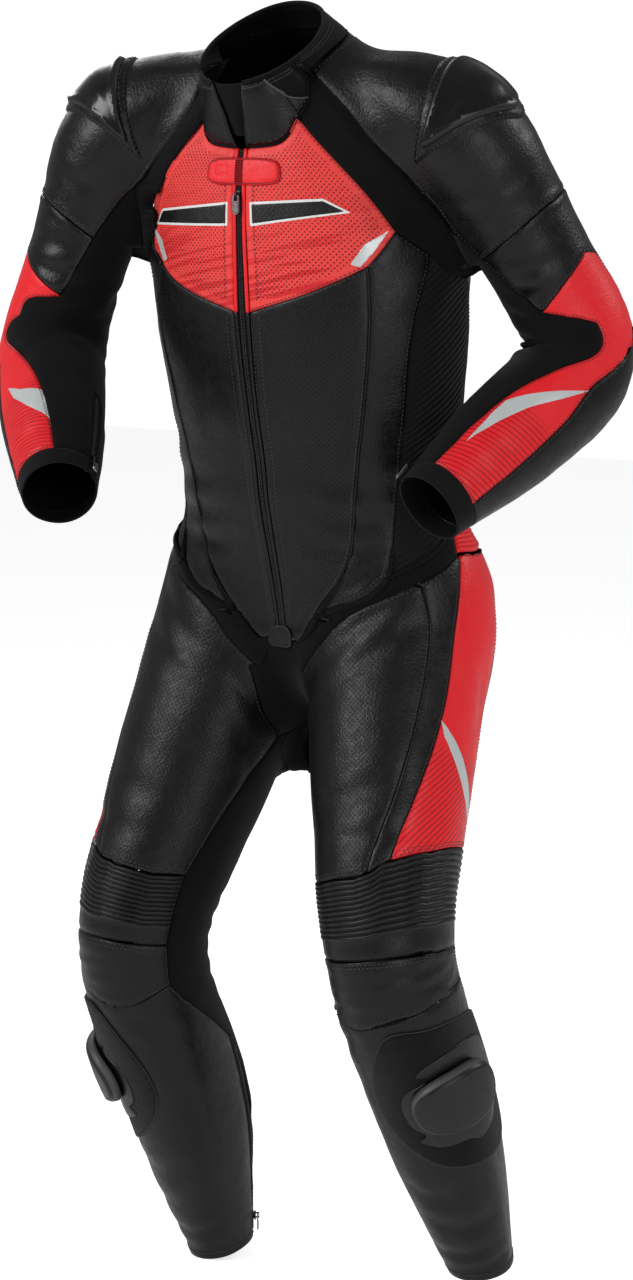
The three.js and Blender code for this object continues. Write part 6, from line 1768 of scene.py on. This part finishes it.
def make_lips():
    """Rolled leather lips beside the front zip and piping down the side of the belly."""
    for side in (LEFT, RIGHT):
        for part, host, finish in (("zipUpper", "chest", "red_leather"),
                                   ("zipLower", "belly", "black_leather")):
            line = resample(seam(part, side, GRAIN)[1], 5.0) - [side * 2.2, 0.2, 0]
            tube(f"zip_lip_{host}_{WORD[side]}", line, np.tile([0.0, -1.0, 0.1], (len(line), 1)), 2.4, finish,
                 SEWN[f"{host}_{WORD[side]}"]["object"], squash=0.75)
        line = resample(seam("bellySide", side, GRAIN)[1], 5.0)
        normal = unit(line - axis_point("T", side, line[:, 2]))
        tube(f"side_piping_{WORD[side]}", line + normal * 0.1, normal, 1.35, "black_leather",
             SEWN[f"belly_{WORD[side]}"]["object"])


# Front trim

CRESCENT = loop_of("169,57 186,70 206,84 228,98 248,108 272,117 262,104 246,92 226,80 204,68 186,60")
SPIKE = {LEFT: loop_of("739,39 716,38 690,37 664,38 640,50 606,70 571,91 610,78 650,62 700,48"),
         RIGHT: loop_of("631,76 656,58 676,30 684,18 716,16 751,15 722,34 692,54 660,70")}
CHEST_CORNER = loop_of("-135,64.5 -160,57.5 -176,52.5 -173,49 -150,55")
BAND = {LEFT: loop_of("-103,6.5 -98,42 -114,52 -131,6.5"),
        RIGHT: loop_of("-103,6.5 -114,53 -133,58 -131,6.5")}


def make_trim():
    """Throat strap, zip guard, printed band and reflectors."""
    strap = patch_on("T", LEFT, oval_places(-68, 2, 16, 22, 4.2, count=80), 2.6)
    e = strap["edge"]
    u, v = strap["flat"][:, 0] + 68, strap["flat"][:, 1] / flat_scale("T")[1] - 2
    square = np.maximum(np.abs(u) - 5.0, np.abs(v + 13) * 1.3 - 5.0)
    shaped(strap, 1.0 + 3.6 * smooth_step(e, -0.4, 2.6) - 1.4 * swell(v, -1, 1.2)
           - 0.9 * swell(square, 0, 0.9) - 0.5 * swell(e, 3.0, 0.8))
    lay("throat_tab", strap, "red_leather", "throat_strap", "red_leather", wall=1.6)
    tape = film_on("throat_tab_tape", strap,
                   loop_of("-82.5,-1.6 -82.5,3.4 -53.5,3.4 -53.5,-1.6"), "dark_red_tape", lift=0.5)
    declare_sheet(strap, [sew_rows(strap, "edge 2.6", "thread_red", pitch=3.2), tape])
    guard = patch_on("T", LEFT, oval_places(-624, 0, 15, 10, 3.0, taper=-0.15, count=60), 2.4)
    e = guard["edge"]
    shaped(guard, 0.2 + 3.2 * smooth_step(e, -0.4, 2.2) - 0.5 * swell(e, 3.0, 0.8))
    lay("zip_end_guard", guard, "black_leather", "zip_guard", "black_leather", wall=1.6)
    declare_sheet(guard, [sew_rows(guard, "edge 2.6", pitch=3.2)])
    for side in (LEFT, RIGHT):
        word = WORD[side]
        chest = SEWN[f"chest_{word}"]
        film_on(f"thigh_reflector_{word}", SEWN[f"thigh_red_{word}"], CRESCENT, "film")
        film_on(f"sleeve_reflector_{word}", SEWN[f"sleeve_red_{word}"], SPIKE[side], "film")
        film_on(f"chest_reflector_{word}", chest,
                CHEST_CORNER - [0, 0 if side == LEFT else 3.5], "film")
        flat = BAND[side] * flat_scale("T")
        for name, less, finish in (("edge", 0.0, "ink_white"), ("field", 2.4, "ink_black")):
            film_on(f"chest_band_{name}_{word}", chest, inset(flat, less) / flat_scale("T"), finish,
                    lift=0.3 + less * 0.1)


# Stage

PHOTO = dict(azimuth=34, elevation=9, far=4000, mm_per_px=1.176, middle=(316.5, 640), axis=(279, 112),
             tall=1280)


def make_stage(look):
    """Pale floor, soft studio lights and the camera at the photograph's angle."""
    low = CAD_BOX[0][2]
    floor = make_object("floor", [(-9000, -9000, 0), (9000, -9000, 0), (9000, 9000, 0), (-9000, 9000, 0)],
                        [(0, 1, 2, 3)], "floor", smooth=False)
    floor.location.z = low - 0.0005
    bpy.context.scene.view_settings.view_transform = "Standard"
    world = bpy.context.scene.world or bpy.data.worlds.new("studio")
    bpy.context.scene.world = world
    world.use_nodes = True
    sky = world.node_tree.nodes["Background"]
    sky.inputs["Color"].default_value = linear("#f8f8f9")
    # the sheet behind the suit is lit on its own, brighter than the light that falls on the suit
    seen = add_node(world.node_tree, "LightPath", out="Is Camera Ray")
    strength = add_node(world.node_tree, "MapRange", (seen, 0.0, 1.0, 0.25 * look.light, 1.15))
    world.node_tree.links.new(strength, sky.inputs["Strength"])
    for name, place, size, power in (
            ("key softbox", (-1.9, -3.3, 1.6), 2.2, 100),
            ("fill softbox", (3.4, -1.9, 0.2), 2.4, 36),
            ("rim softbox", (2.6, 2.6, 1.8), 1.6, 40),
            ("back softbox", (-2.8, 2.2, 1.2), 1.6, 30)):
        light = bpy.data.lights.new(name, "AREA")
        light.shape, light.size, light.energy = "SQUARE", size, power * look.light
        lamp = bpy.data.objects.new(name, light)
        lamp.location = place
        aim = Vector((0, 0, -0.6)) - Vector(place)
        lamp.rotation_euler = aim.to_track_quat("-Z", "Y").to_euler()
        bpy.context.collection.objects.link(lamp)
    az, el = math.radians(PHOTO["azimuth"]), math.radians(PHOTO["elevation"])
    back = Vector((math.sin(az) * math.cos(el), -math.cos(az) * math.cos(el), math.sin(el)))
    right = Vector((math.cos(az), math.sin(az), 0))
    up = back.cross(right)
    shift = [(m - a) * PHOTO["mm_per_px"] for m, a in zip(PHOTO["middle"], PHOTO["axis"])]
    camera = bpy.data.objects.new("camera", bpy.data.cameras.new("camera"))
    camera.location = (back * PHOTO["far"] + right * shift[0] - up * shift[1]) * MM
    camera.rotation_euler = Matrix((right, up, back)).transposed().to_euler()
    camera.data.sensor_width = 36
    camera.data.lens = 36 * PHOTO["far"] / PHOTO["mm_per_px"] / PHOTO["tall"]
    camera.data.clip_end = 60
    bpy.context.collection.objects.link(camera)
    bpy.context.scene.camera = camera


# Add-on

class RaceSuitLook(bpy.types.PropertyGroup):
    """Colours of the suit and the studio lamps' power, that a user would change."""

    red: bpy.props.FloatVectorProperty(
        name="Red", description="Dye of the red hide", subtype="COLOR", size=3, min=0, max=1,
        default=linear("#f4222b")[:3])
    black: bpy.props.FloatVectorProperty(
        name="Black", description="Dye of the black hide", subtype="COLOR", size=3, min=0, max=1,
        default=linear("#0a0a0b")[:3])
    stretch: bpy.props.FloatVectorProperty(
        name="Stretch", description="Colour of the stretch fabric", subtype="COLOR", size=3, min=0, max=1,
        default=linear("#050506")[:3])
    light: bpy.props.FloatProperty(
        name="Light", description="Share of the studio lamps' full power", default=1.0, min=0, max=4,
        subtype="FACTOR")


class RACESUIT_OT_finishes(bpy.types.Operator):
    """Every leather, fabric, plastic and metal finish of the suit."""

    bl_idname = "racesuit.finishes"
    bl_label = "Mix finishes"

    def execute(self, context):
        mix_finishes(context.scene.race_suit)
        return {"FINISHED"}


class RACESUIT_OT_torso(bpy.types.Operator):
    """Chest, belly, side and raglan pieces, flanks, back, lumbar cushion and crotch gusset."""

    bl_idname = "racesuit.torso"
    bl_label = "Torso"

    def execute(self, context):
        sew_side("chest raglan_strip belly side_strip flank")
        sew_back()
        sew_lumbar()
        sew_gusset()
        return {"FINISHED"}


class RACESUIT_OT_sleeves(bpy.types.Operator):
    """Shoulders, upper and lower sleeves, forearm guards and cuffs."""

    bl_idname = "racesuit.sleeves"
    bl_label = "Sleeves"

    def execute(self, context):
        sew_side("shoulder upper_sleeve sleeve_red forearm_guard inner_sleeve cuff")
        return {"FINISHED"}


class RACESUIT_OT_legs(bpy.types.Operator):
    """Thighs, knee cushions and bands, shins and the stretch backs of the legs."""

    bl_idname = "racesuit.legs"
    bl_label = "Legs"

    def execute(self, context):
        sew_side("thigh_front thigh_strip thigh_red knee_band shin leg_back")
        sew_knees()
        return {"FINISHED"}


class RACESUIT_OT_collar(bpy.types.Operator):
    """Stand collar, its binding and bib."""

    bl_idname = "racesuit.collar"
    bl_label = "Collar"

    def execute(self, context):
        sew_collar()
        return {"FINISHED"}


class RACESUIT_OT_armour(bpy.types.Operator):
    """Shoulder cups and the padded back hump."""

    bl_idname = "racesuit.armour"
    bl_label = "Armour"

    def execute(self, context):
        make_cups()
        make_hump()
        return {"FINISHED"}


class RACESUIT_OT_sliders(bpy.types.Operator):
    """Loop patches, flanges and pucks of the knee sliders."""

    bl_idname = "racesuit.sliders"
    bl_label = "Knee sliders"

    def execute(self, context):
        make_sliders()
        return {"FINISHED"}


class RACESUIT_OT_zips(bpy.types.Operator):
    """Front, cuff and ankle zips with their sliders, pulls and lips."""

    bl_idname = "racesuit.zips"
    bl_label = "Zips"

    def execute(self, context):
        make_zips()
        return {"FINISHED"}


class RACESUIT_OT_trim(bpy.types.Operator):
    """Throat strap, zip guard, printed band and reflectors."""

    bl_idname = "racesuit.trim"
    bl_label = "Front trim"

    def execute(self, context):
        make_trim()
        return {"FINISHED"}


class RACESUIT_OT_stage(bpy.types.Operator):
    """Floor, lights and camera."""

    bl_idname = "racesuit.stage"
    bl_label = "Stage"

    def execute(self, context):
        make_stage(context.scene.race_suit)
        return {"FINISHED"}


OPERATORS = (RACESUIT_OT_finishes, RACESUIT_OT_torso, RACESUIT_OT_sleeves, RACESUIT_OT_legs,
             RACESUIT_OT_collar, RACESUIT_OT_armour, RACESUIT_OT_sliders, RACESUIT_OT_zips, RACESUIT_OT_trim,
             RACESUIT_OT_stage)


class RACESUIT_PT_panel(bpy.types.Panel):
    """The steps that make the suit."""

    bl_label = "Race suit"
    bl_idname = "RACESUIT_PT_panel"
    bl_space_type = "VIEW_3D"
    bl_region_type = "UI"
    bl_category = "Race suit"

    def draw(self, context):
        look = context.scene.race_suit
        for name in look.bl_rna.properties.keys():
            if name not in ("rna_type", "name"):
                self.layout.prop(look, name)
        for operator in OPERATORS:
            self.layout.operator(operator.bl_idname)


def register():
    for item in (RaceSuitLook, *OPERATORS, RACESUIT_PT_panel):
        bpy.utils.register_class(item)
    bpy.types.Scene.race_suit = bpy.props.PointerProperty(type=RaceSuitLook)


def unregister():
    del bpy.types.Scene.race_suit
    for item in reversed((RaceSuitLook, *OPERATORS, RACESUIT_PT_panel)):
        bpy.utils.unregister_class(item)


def main():
    register()
    for operator in OPERATORS:
        getattr(bpy.ops.racesuit, operator.bl_idname.split(".")[1])()


if __name__ == "__main__":
    main()
